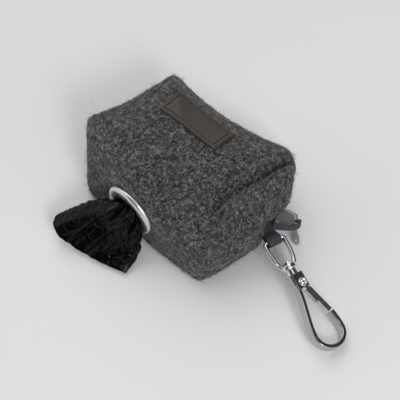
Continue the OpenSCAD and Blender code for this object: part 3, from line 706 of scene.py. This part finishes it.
def fibre_roots(skin, count, rng):
    """Random points of the skin, none underneath, and the normals there."""
    a = skin[:-1]
    area = np.linalg.norm(np.cross(np.roll(a, -1, 1) - a, skin[1:] - a), axis=-1)
    weight = (area * (a[..., 2] > 0.6)).reshape(-1)
    pick = rng.choice(weight.size, count, p=weight / weight.sum())
    i, j = np.unravel_index(pick, area.shape)
    next_j = (j + 1) % skin.shape[1]
    share = rng.random((count, 2, 1))
    here = mix(skin[i, j], skin[i + 1, j], share[:, 0])
    there = mix(skin[i, next_j], skin[i + 1, next_j], share[:, 0])
    return mix(here, there, share[:, 1]), grid_normals(skin)[i, j]


def fibre_paths(base, normal, length, lift, rng):
    """Curled lines that leave their roots, rise by about lift and come down again."""
    count, last = len(base), FIBRE_STEPS - 1
    side = np.cross(normal, rng.normal(size=(count, 3)))
    side /= np.linalg.norm(side, axis=1, keepdims=True)
    other = np.cross(normal, side)
    size = length * rng.lognormal(0, 0.35, (count, 1))
    rise = lift * rng.lognormal(0, 0.6, (count, 1))
    bend = rng.normal(0, 0.55, (count, 1))
    curl = rng.normal(0, 0.35, (count, 1))
    point, path = base + normal * 0.02, []
    angle = np.zeros((count, 1))
    for k in range(FIBRE_STEPS):
        path.append(point + normal * rise * math.sin(math.pi * (0.1 + 0.9 * k / last)))
        angle = angle + bend + curl * (k - FIBRE_STEPS / 2) * 0.5
        point = point + (side * np.cos(angle) + other * np.sin(angle)) * size / last
    return np.stack(path, 1)


def fibre_rings(path, normal, radius, rng):
    """A small triangle round each point of each path."""
    run = units(np.gradient(path, axis=1))
    u = units(np.cross(run, normal[:, None, :]))
    v = np.cross(run, u)
    thick = radius * rng.lognormal(0, 0.25, (len(path), 1, 1)) * np.array(FIBRE_TAPER)[None, :, None]
    turns = np.arange(FIBRE_SIDES) * 2 * math.pi / FIBRE_SIDES
    return np.stack([path + (u * math.cos(t) + v * math.sin(t)) * thick for t in turns], 2)


def stays_clear(path, radius):
    """True for each fibre that misses the eyelet, patch, floor, teeth and pull tab."""
    root = path[:, 0]
    on_eyelet = (np.hypot(root[:, 0] - EYELET_X, root[:, 2] - EYELET_Z) < FLANGE_R - 0.6) & (root[:, 1] < -15)
    under_patch = near_patch(path).max(1) >= 0.97
    in_floor = path[..., 2].min(1) <= radius
    x, y, z = np.moveaxis((path - ZIP_PLACE) @ ZIP_TURN, -1, 0)
    in_teeth = (np.abs(y) < TEETH_SIDE) & (np.abs(z) < TEETH_SIDE) & (x > ZIP_START_X)
    under_tab = (np.abs(y) < TAB_SIDE) & (z > TAB_LOW) & (z < TAB_HIGH)
    return ~(on_eyelet | under_patch | in_floor | (in_teeth | under_tab).any(1))


def make_fuzz(skin, count, look, name, length, lift, radius, rng):
    """Short curly fibres lying on the felt, as thin three-sided tubes."""
    base, normal = fibre_roots(skin, count, rng)
    path = fibre_paths(base, normal, length, lift, rng)
    rings = fibre_rings(path, normal, radius, rng)[stays_clear(path, radius)]
    tube = grid_faces(FIBRE_STEPS, FIBRE_SIDES, wrap_cols=True)
    points = FIBRE_STEPS * FIBRE_SIDES
    first = np.arange(len(rings))[:, None] * points
    sides = (first[..., None] + tube).reshape(-1, 4)
    ends = np.concatenate([first + (0, 2, 1), first + points - FIBRE_SIDES + np.arange(FIBRE_SIDES)])
    obj = mesh_object(name, rings.reshape(-1, 3), sides.tolist() + ends.tolist(), look)
    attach(obj, "pouch")
    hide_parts("top_panel", "bottom_panel")


# ------------------------ eyelet
def make_eyelet():
    middle, half = (FLANGE_R + EYELET_R) / 2, (FLANGE_R - EYELET_R) / 2
    low, seat, outer = -FELT_T - 1.2, 0.12, EYELET_R + BARREL_T
    profile = [(EYELET_R, low), (outer, low), (outer, seat), (FLANGE_R - 0.5, seat)]
    for a in np.radians(np.arange(0, 181, 6)):
        c, h = math.cos(a), math.sin(a)
        profile.append((middle + half * math.copysign(abs(c) ** 0.7, c), seat + FLANGE_H * abs(h) ** 0.7))
    ring = revolve("eyelet_ring", profile, to_eyelet, SATIN, 128)
    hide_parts("eyelet_flange")
    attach(ring, "pouch")


# ------------------------ label patch
def top_height(x, y, rim):
    """Height of the top skin above a point of the plan."""
    turn = np.degrees(np.arctan2(rim[:, 1], rim[:, 0]))
    order = np.argsort(turn)
    at = np.degrees(np.arctan2(y, x))
    rx, ry, rz, rp = (np.interp(at, turn[order], rim[order, k], period=360) for k in range(4))
    s = np.clip(np.hypot(x, y) / np.hypot(rx, ry), 0, 1)
    return mix(rz, POUCH_H - SLACK_TOP - fold_drop(x, y), (1 - s ** rp) ** (1 / rp))


PATCH_COUNT_U, PATCH_COUNT_V = 200, 90
PATCH_CORNER_R, PATCH_EDGE_R, PATCH_LIFT = 1.0, 0.7, 0.28
BORDER_U, BORDER_V = 2.0, 1.9
GROOVE_D, GROOVE_W, PANEL_SINK = 0.55, 0.24, 0.12


def crowded(count, share, half):
    """Stations from -half to half, closer together towards both ends."""
    even = np.linspace(-0.5, 0.5, count)
    at = np.sin(even * math.pi) * share + even * (1 - share)
    return at / at.max() * half


def past_corner(u, v):
    """How far points lie beyond the centres of the patch's rounded corners."""
    return (np.maximum(np.abs(u) - PATCH_L / 2 + PATCH_CORNER_R, 0),
            np.maximum(np.abs(v) - PATCH_W / 2 + PATCH_CORNER_R, 0))


def patch_plan():
    """Grid over the patch's rounded outline, and each point's distance from its edge."""
    u, v = np.meshgrid(crowded(PATCH_COUNT_U, 0.35, PATCH_L / 2), crowded(PATCH_COUNT_V, 0.3, PATCH_W / 2),
                       indexing="ij")
    cu, cv = past_corner(u, v)
    reach = np.hypot(cu, cv)
    scale = np.where(reach > PATCH_CORNER_R, PATCH_CORNER_R / np.maximum(reach, 1e-9), 1)
    u = np.sign(u) * (np.abs(u) - cu + cu * scale)
    v = np.sign(v) * (np.abs(v) - cv + cv * scale)
    edge = PATCH_CORNER_R - np.hypot(*past_corner(u, v))
    return u, v, np.minimum(edge, np.minimum(PATCH_L / 2 - np.abs(u), PATCH_W / 2 - np.abs(v)))


def make_patch(rim):
    u, v, edge = patch_plan()
    nu, nv = u.shape
    line = np.maximum(np.abs(u) - PATCH_L / 2 + BORDER_U, np.abs(v) - PATCH_W / 2 + BORDER_V)
    pressed = GROOVE_D * np.exp(-(line / GROOVE_W) ** 2) + PANEL_SINK * smooth(-line / 0.3)
    curve = 1 - np.sqrt(1 - (1 - np.clip(edge / PATCH_EDGE_R, 0, 1)) ** 2)
    t = math.radians(PATCH_YAW)
    x = PATCH_X + u * math.cos(t) - v * math.sin(t)
    y = PATCH_Y + u * math.sin(t) + v * math.cos(t)
    base = top_height(x, y, rim) + PATCH_LIFT
    top = np.stack([x, y, base + PATCH_T * (1 - 0.75 * curve) - pressed], -1)
    low = np.stack([x, y, base], -1)
    verts = np.concatenate([top.reshape(-1, 3), low.reshape(-1, 3)])
    faces = grid_faces(nu, nv, flip=True) + grid_faces(nu, nv, start=nu * nv)
    loop = ([i * nv for i in range(nu)] + [(nu - 1) * nv + j for j in range(1, nv)]
            + [i * nv + nv - 1 for i in range(nu - 2, -1, -1)] + list(range(nv - 2, 0, -1)))
    for a, b in zip(loop, loop[1:] + loop[:1]):
        faces.append((a + nu * nv, b + nu * nv, b, a))
    patch = mesh_object("patch", verts, faces, LEATHER)
    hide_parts("label_patch")
    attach(patch, "pouch")


# ------------------------ bag
BAG_ROWS, BAG_COLS = 170, 260


def bag_edges(t):
    """The bag's left and right edges from inside the eyelet out to its open end."""
    left = [(-11.3, -23.5, 23.2), (-11.9, -29.0, 24.2), (-12.8, -32.4, 24.2), (-15.8, -33.6, 22.8),
            (-20.4, -34.9, 20.4), (-24.7, -36.8, 17.4), (-28.6, -39.4, 14.4), (-31.9, -42.4, 11.7),
            (-35.0, -46.0, 9.2)]
    right = [(-1.0, -23.5, 18.4), (-0.6, -29.5, 18.6), (0.9, -33.0, 17.2), (2.6, -34.7, 13.4),
             (3.6, -36.6, 9.6), (4.1, -38.6, 6.8), (4.2, -41.2, 4.6), (4.0, -44.0, 3.0), (3.7, -47.4, 1.6)]
    out = []
    for points in (left, right):
        fine = rounded_path(points, 24)
        run = np.concatenate([[0], np.cumsum(np.linalg.norm(np.diff(fine, axis=0), axis=1))])
        at = np.interp(t, np.linspace(0, 1, len(points)), run[::24])
        out.append(np.stack([np.interp(at, run, fine[:, k]) for k in range(3)], 1))
    return out


def ridged(points, size, seed):
    """Noise whose highest places are sharp ridges."""
    return 1 - 2 * np.abs(noise_field(points, size, seed))


def bag_body(tt, v, side):
    """Half thickness of the bag, and how its folds, pleats and sag move it.

    tt runs from the eyelet to the open end, v from the left edge to the right one, and
    side is 1 on the upper film and -1 on the lower one. A rolled edge lies at the left,
    a flap is folded over it, and a valley runs down the middle.
    """
    body = np.interp(tt, [0, 0.12, 0.24, 0.42, 0.7, 1], [4.6, 4.8, 4.6, 3.4, 2.4, 1.7])
    roll = 2.0 * np.exp(-((v - 0.13) / 0.10) ** 2) * smooth((tt - 0.4) / 0.55)
    half = (body + roll) * np.abs(side) ** 0.85 * np.sign(side)
    flap = 0.04 + 0.29 * tt
    step = 2.6 * smooth((tt - 0.12) / 0.3) * smooth((flap - v) / 0.025 + 0.5) * np.clip(v / flap, 0, 1) ** 0.6
    valley = -1.1 * np.exp(-((v - 0.5 - 0.05 * tt) / 0.045) ** 2) * smooth((tt - 0.35) / 0.4)
    waves = 1 - 2 * np.abs(np.sin(math.pi * (v * 5 + 0.5 * np.sin(3 * tt + 5 * v))))
    pleats = 0.9 * waves * (1 - smooth((tt - 0.3) / 0.55)) * smooth((tt - 0.1) / 0.12)
    sag = -1.2 * np.sin(math.pi * v) * smooth((tt - 0.25) / 0.6)
    return half, (step + valley) * (side > 0) * np.abs(side) ** 0.3 + pleats + sag


def bag_hem(tt, v, side):
    """How far the open end runs out past its straight edge."""
    hem = np.interp(v, [0, 0.05, 0.12, 0.24, 0.34, 0.47, 0.6, 0.72, 0.84, 0.94, 1],
                    [1.0, 3.4, 5.0, 6.3, 6.5, 6.2, 5.0, 3.9, 2.6, 1.0, 0.4])
    ragged = noise_field(np.stack([v * 26 + 0 * tt, side * 2 + 0 * tt, 0 * tt + 0 * v], -1), 1.6, 21)
    return (hem + 0.3 * ragged) * smooth((tt - 0.55) / 0.45)


def bag_crumple(p, tt, v, side):
    """Depth of the film's sharp creases, none where the eyelet holds it."""
    fine = smooth((tt - 0.16) / 0.25) * (1 - 0.45 * smooth((tt - 0.8) / 0.2))
    spread = np.stack([v * 34 + 0 * tt, tt * 15 + 0 * v, np.sign(side) * 6 + 0 * tt], -1)
    curled = np.exp(-((v - 0.1) / 0.13) ** 2) * smooth((tt - 0.5) / 0.4)
    rough = 1.05 * ridged(spread, 6.5, 11) + 0.42 * ridged(p, 3.6, 12)
    rough += (0.14 + 0.4 * curled) * ridged(p, 1.8, 13)
    return rough * fine * 0.8 + 0.15


def make_bag():
    t = np.linspace(0, 1, BAG_ROWS)
    left, right = bag_edges(t)
    middle = (left + right) / 2
    run = units(np.gradient(middle, axis=0))
    width = np.linalg.norm(right - left, axis=1, keepdims=True)
    wide = (right - left) / width
    thick = units(np.cross(run, wide))
    a = np.arange(BAG_COLS) * 2 * math.pi / BAG_COLS
    across, side = -np.cos(a)[None, :], np.sin(a)[None, :]
    tt, v = t[:, None], (across + 1) / 2
    half, lift = bag_body(tt, v, side)
    p = (middle[:, None, :] + wide[:, None, :] * (across * width / 2)[..., None]
         + thick[:, None, :] * (half + lift)[..., None])
    p += run[-1] * bag_hem(tt, v, side)[..., None]
    p -= grid_normals(p) * bag_crumple(p, tt, v, side)[..., None]
    lips = []
    for k in range(1, 10):
        ring = mix(p[-1], p[-1] - thick[-1] * half[-1][:, None], 0.09 * k)
        tuck = wide[-1] * (across * width[-1] / 2 * 0.025 * k).T
        lips.append(ring - tuck - run[-1] * 0.8 * k)
    p = np.concatenate([p, np.array(lips)])
    p[..., 2] = np.maximum(p[..., 2], 0.35)
    bag = loft("bag_drawn_out", p, FILM)
    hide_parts("bag_tail")
    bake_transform(bag)


# ------------------------ strap and tapes
def swept_strip(name, path, across, half_w, half_t, look, count=24, power=6):
    """A strip of webbing along a path, its width lying along the given directions."""
    path = np.asarray(path, float)
    run = units(np.gradient(path, axis=0))
    rings = []
    for p, r, w, half in zip(path, run, across, np.broadcast_to(half_w, len(path))):
        w = unit(w - r * np.dot(w, r))
        rings.append(section(p, w, np.cross(r, w), half, half_t, count, power))
    return loft(name, rings, look)


EYE_R, LAYER = 1.1, WEB_T / 2 + 0.03


def make_strap():
    ring = EYE_R + 0.15 + WEB_T / 2
    root_x, drop = -WEB_REACH, SEAM_RIGHT - BAR[2]
    root_out = root_x + 2
    mid = [(root_x - 3, drop + LAYER), (root_out, drop + LAYER),
           (mix(root_out, -ring, 0.5), mix(drop + LAYER, ring * 0.7, 0.35)), (-ring * 0.8, ring * 0.75)]
    mid += [(ring * math.cos(math.radians(a)), ring * math.sin(math.radians(a)))
            for a in np.arange(105, -106, -22.5)]
    mid += [(-ring * 1.2, -ring), (root_out, drop - LAYER), (root_x - 3, drop - LAYER)]
    path = rounded_path([(x, 0, z) for x, z in mid], 5)
    world = path @ BAR_TURN.T + BAR
    across = np.tile(BAR_TURN @ Y, (len(world), 1))
    strap = swept_strip("strap", world, across, WEB_W / 2, WEB_T / 2 * 0.92, WEBBING)
    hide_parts("strap_loop")
    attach(strap, "pouch")


def make_tape(side, node):
    """One tape of the zip: full width along the slot, a narrow end beyond it."""
    stations = np.concatenate([np.linspace(ZIP_START_X - 2.8, ZIP_END_X - 0.8, 60),
                               np.linspace(ZIP_END_X - 0.7, CHAIN_END_X, 12)])
    rings = []
    for x in stations:
        w = TAPE_W if x < ZIP_END_X - 0.75 else TAPE_W * 0.28
        centre = (x, side * (TAPE_GAP / 2 + w / 2), TAPE_Z)
        rings.append(to_zip(section(centre, Y, Z, w / 2, TAPE_T / 2, 20, 8)))
    tape = loft("tape_" + node[9:], rings, TAPE)
    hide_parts(node)
    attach(tape, "pouch")


def make_tape_end():
    """The folded end between the slider and the strap's root."""
    start = to_zip([[CHAIN_END_X + 0.6, -1.5, TAPE_Z]])[0]
    yaw = math.radians(STRAP_YAW)
    end = np.array([BAR[0] - WEB_REACH * math.cos(yaw) + 0.9, BAR[1] + WEB_W * 0.5 + 3, SEAM_RIGHT + 0.2])
    t = np.linspace(0, 1, 40)
    path = bezier3(start, start + (1.8, -4.4, 0.5), end + (3.6, 2.8, -2.6), end, t)
    across = mix(np.array([0.2, -0.4, -0.9]), np.array([0.45, 0.15, -0.9]), smooth(t)[:, None])
    taper = np.interp(t, [0, 0.25, 0.6, 1], [2.2, 1.4, 1.4, 2.4])
    fold = swept_strip("tape_end", path, across, taper, 0.42, TAPE, 20, 5)
    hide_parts("tape_end_fold")
    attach(fold, "pouch")


# ------------------------ snap hook
EYE_L, BASE_T, BASE_R, NECK = 14.5, 2.4, 3.4, 2.2
POST_GAP, BLOCK = 2.6, np.array([7.0, 7.0, 5.0])
BLOCK_X = EYE_L + POST_GAP
BEND_C = BLOCK_X + BLOCK[0] + 20.9
BEND_W, BEND_L, ARM_W, ARM_T = 8.4, 7.7, 2.0, 4.5
BLOCK_CHAMFER, BLOCK_EDGE, CHEEK_T = 0.7, 0.16, 1.15
PIN = np.array([BLOCK_X + BLOCK[0] - 2.4, 0.5])
NOSE = np.array([BEND_C - 7.2, BEND_W - ARM_W / 2 - 0.9])


def along_x(points):
    """Lays an upright profile along the hook's own length."""
    return np.stack([points[:, 2], points[:, 0], points[:, 1]], 1)


def bevel_object(obj, width):
    """Rounds the sharp edges of an object."""
    modifier = obj.modifiers.new("bevel", "BEVEL")
    modifier.width = width * MM
    modifier.segments = 3
    modifier.limit_method = "ANGLE"
    modifier.angle_limit = math.radians(30)
    apply_modifiers(obj)


def bar_rings(path, grow):
    """Sections of the hook's flat bar along its path, each wider by its share of growth."""
    run = units(np.gradient(path, axis=0))
    return [to_hook(section((*p, 0), (-r[1], r[0], 0), Z, ARM_W / 2 * g, ARM_T / 2, 32, 5.5))
            for p, r, g in zip(path, run, grow)]


def make_stirrup():
    inside = WEB_W / 2 + 0.35 + EYE_R
    x1, r = EYE_L - BASE_T / 2 - 0.6, 1.4
    end = inside - r
    path = [(0, -end + k * end / 2) for k in range(5)]
    path += [(r - r * math.sin(math.radians(a)), end + r * math.cos(math.radians(a))) for a in (60, 30, 0)]
    path += [(4.5, inside), (7.5, inside - 0.3), (x1 - 2, NECK + 1.6), (x1, NECK + 0.2), (x1, 0),
             (x1, -NECK - 0.2), (x1 - 2, -NECK - 1.6), (7.5, -inside + 0.3), (4.5, -inside)]
    path += [(r - r * math.sin(math.radians(a)), -end - r * math.cos(math.radians(a))) for a in (0, 30, 60)]
    # Once round, up to where the closing faces span the rest of the straight bar
    fine = rounded_path(path + path[:3], 6)[6:-11]
    run = units(np.roll(fine, -1, 0) - np.roll(fine, 1, 0))
    rings = [to_eye(section((*q, 0), (-d[1], d[0], 0), Z, EYE_R, EYE_R, 24, 2)) for q, d in zip(fine, run)]
    loop = loft("stirrup_loop", rings, BRIGHT, closed=True)
    half, soft, hole = BASE_R, 0.45, 1.62
    profile = [(hole, EYE_L - BASE_T), (half - soft, EYE_L - BASE_T), (half - 0.13, EYE_L - BASE_T + 0.13),
               (half, EYE_L - BASE_T + soft), (half, EYE_L - soft), (half - 0.13, EYE_L - 0.13),
               (half - soft, EYE_L), (hole, EYE_L)]
    base = revolve("stirrup_base", profile, lambda q: to_eye(along_x(q)), BRIGHT, 64)
    for obj in (loop, base):
        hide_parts("swivel_eye")
        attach(obj, "stirrup")


def hook_path():
    """The bar's middle line: down one side, round the bend and back to the nose."""
    t = np.linspace(0, 1, 30)
    low, high = -BEND_W + ARM_W / 2, BEND_W - ARM_W / 2
    root_x, root_y = BLOCK_X + BLOCK[0], -BLOCK[1] / 2 + ARM_W / 2
    down = bezier3((root_x - 2.5, root_y + 0.1, 0), (root_x + 5, root_y, 0), (BEND_C - 6, low, 0),
                   (BEND_C, low, 0), t[:-1])
    a = np.radians(np.linspace(-90, 86, 60))
    bend = np.column_stack([BEND_C + (BEND_L - ARM_W / 2) * np.cos(a), high * np.sin(a)])
    back = bezier3((BEND_C, high, 0), (BEND_C - 2.5, high, 0), (BEND_C - 5, NOSE[1] + 0.3, 0), (*NOSE, 0),
                   t[2:])
    return np.concatenate([down[:, :2], bend, back[:, :2]])


def make_block():
    """The square block with its chamfers and the mortise that holds the gate."""
    w, h, b = BLOCK[1] / 2, BLOCK[2] / 2, BLOCK_CHAMFER
    eight = [(-w + b, -h), (w - b, -h), (w, -h + b), (w, h - b),
             (w - b, h), (-w + b, h), (-w, h - b), (-w, -h + b)]
    block = prism("hook_block", eight, BLOCK_X, BLOCK_X + BLOCK[0], lambda q: to_hook(along_x(q)),
                  BLACK_NICKEL)
    bevel_object(block, BLOCK_EDGE)
    slot_half = h - CHEEK_T
    mortise = box_cutter("mortise", (PIN[0] - 2.7, PIN[1] - 2.2, -slot_half),
                         (PIN[0] + 5, PIN[1] + 5, slot_half), BAR, HOOK_TURN)
    cut_away(block, [mortise])
    return block


def make_pin(name, up):
    """One end of the gate's pin, with a ring pressed round its dome."""
    z = BLOCK[2] / 2
    profile = [(0.0, z - 3.2), (0.86, z - 3.2), (0.9, z), (2.0, z + 0.02), (2.0, z + 0.18),
               (1.86, z + 0.42), (1.6, z + 0.52), (1.32, z + 0.5), (1.22, z + 0.3), (1.05, z + 0.28),
               (0.95, z + 0.55), (0.0, z + 0.62)]
    pin = revolve(name, profile, lambda q: to_hook(q * (1, up, up) + (*PIN, 0)), BRIGHT, 48)
    clean(pin.data)
    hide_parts("gate_pin")
    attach(pin, "hook")


def make_hook():
    path = hook_path()
    grow = np.ones(len(path))
    grow[-24:] = 1 + 0.12 * smooth(np.linspace(0, 1, 24))
    arm = loft("hook_arm", bar_rings(path, grow), BLACK_NICKEL)
    for obj in (arm, make_block()):
        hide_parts("hook_body")
        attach(obj, "hook")
    make_pin("pin_front", 1)
    make_pin("pin_rear", -1)


# ------------------------ camera, floor, lights
# The photograph's view: where the camera stands, and the pixel that it puts AIM_AT on
AZIMUTH, ELEVATION = math.radians(37.0), math.radians(60.0)
FOCAL_PX, DISTANCE, IMAGE_PX = 1047.0, 460.0, 400.0
AIM_AT = np.array([5.0, 0.0, 20.0])
AIM_PX = (193.0, 178.0)
BACK = np.array([math.sin(AZIMUTH) * math.cos(ELEVATION), -math.cos(AZIMUTH) * math.cos(ELEVATION),
                 math.sin(ELEVATION)])
RIGHT = np.array([math.cos(AZIMUTH), math.sin(AZIMUTH), 0.0])
UP = np.cross(BACK, RIGHT)


def make_camera():
    half = IMAGE_PX / 2
    place = (AIM_AT + BACK * DISTANCE - RIGHT * (AIM_PX[0] - half) / FOCAL_PX * DISTANCE
             + UP * (AIM_PX[1] - half) / FOCAL_PX * DISTANCE)
    data = bpy.data.cameras.new("camera")
    data.sensor_width = 36.0
    data.lens = data.sensor_width * FOCAL_PX / IMAGE_PX
    data.clip_start, data.clip_end = 0.01, 20.0
    cam = bpy.data.objects.new("camera", data)
    bpy.context.scene.collection.objects.link(cam)
    cam.location = Vector(place * MM)
    cam.rotation_euler = Vector(BACK).to_track_quat("Z", "Y").to_euler()
    bpy.context.scene.camera = cam


# Grey of the sky by height, its strength, and the plain grey that the camera sees
SKY = [(0.0, (0.42,)), (0.54, (0.42,)), (0.72, (0.52,)), (0.86, (0.62,)), (0.95, (0.66,))]
SKY_STRENGTH, SKY_SEEN = 1.85, 0.42
# Dark patches that the hook's face and the bag mirror: direction and edge
DARK_PATCHES = [((0.36, 0.71, 0.60), 0.60), ((0.08, -0.78, 0.62), 0.68)]
# Place and size in metres, power in watts
LAMPS = {
    "front": ((0.74, -0.42, 0.70), 0.36, 3.2),
    "back": ((-0.36, 0.34, 0.88), 0.8, 1.4),
    "glint": ((0.10, -0.60, 0.90), 0.08, 0.25)}


def area_light(name, place, size, power):
    """A round lamp that faces the origin."""
    data = bpy.data.lights.new(name, "AREA")
    data.shape = "DISK"
    data.size = size
    data.energy = power
    obj = bpy.data.objects.new(name, data)
    bpy.context.scene.collection.objects.link(obj)
    obj.location = place
    obj.rotation_euler = Vector(place).to_track_quat("Z", "Y").to_euler()


def floor_look(tree, shader):
    at = position(tree)
    soft = noise(tree, at, 3, 2, 0.5)
    color = ramp(tree, soft, [(0.3, (0.855, 0.855, 0.855)), (0.7, (0.885, 0.885, 0.885))])
    paint(tree, shader, color, 0.6, Specular_IOR_Level=0.2)


def make_sky():
    world = bpy.data.worlds.new("world")
    bpy.context.scene.world = world
    world.use_nodes = True
    tree = world.node_tree
    coord = tree.nodes.new("ShaderNodeTexCoord")
    split = tree.nodes.new("ShaderNodeSeparateXYZ")
    tree.links.new(coord.outputs["Generated"], split.inputs["Vector"])
    half_up = math_node(tree, "MULTIPLY", split.outputs["Z"], 0.5)
    height = math_node(tree, "ADD", half_up, 0.5)
    sky = ramp(tree, height, SKY)
    for toward, edge in DARK_PATCHES:
        facing = tree.nodes.new("ShaderNodeVectorMath")
        facing.operation = "DOT_PRODUCT"
        facing.inputs[1].default_value = unit(toward)
        tree.links.new(coord.outputs["Generated"], facing.inputs[0])
        shade = ramp(tree, facing.outputs["Value"], [(edge, (1.0,)), (edge * 0.4 + 0.6, (0.06,))])
        sky = mix_color(tree, 1.0, sky, shade, "MULTIPLY")
    seen = tree.nodes.new("ShaderNodeLightPath")
    sky = mix_color(tree, seen.outputs["Is Camera Ray"], sky, (SKY_SEEN,) * 3)
    tree.links.new(sky, tree.nodes["Background"].inputs["Color"])
    tree.nodes["Background"].inputs["Strength"].default_value = SKY_STRENGTH


def make_stage():
    bpy.ops.mesh.primitive_plane_add(size=6)
    floor = bpy.context.object
    floor.name = "floor"
    floor.data.materials.append(material("floor", floor_look))
    make_sky()
    for name, (place, size, power) in LAMPS.items():
        area_light(name, place, size, power)
    bpy.context.scene.view_settings.view_transform = "Standard"


make_camera()
make_stage()
RIM = rim_points(6, 20)
make_patch(RIM)
make_eyelet()
make_bag()
make_strap()
make_tape(-1, "zip_tape_upper")
make_tape(1, "zip_tape_lower")
make_tape_end()
make_stirrup()
make_hook()
SKIN = felt_skin(RIM, 46, 84)
make_felt(SKIN)
RNG = np.random.default_rng(7)
# Count, look, name, length, lift and radius of each kind of fibre
make_fuzz(SKIN, 17000, FIBRE_LIGHT, "fuzz_light", 2.3, 0.15, 0.042, RNG)
make_fuzz(SKIN, 9000, FIBRE_DARK, "fuzz_dark", 2.2, 0.14, 0.05, RNG)
make_fuzz(SKIN, 2600, FIBRE_LIGHT, "fuzz_loose", 2.2, 0.8, 0.035, RNG)
make_fuzz(SKIN, 1500, FIBRE_PALE, "fuzz_long", 4.6, 0.25, 0.034, RNG)
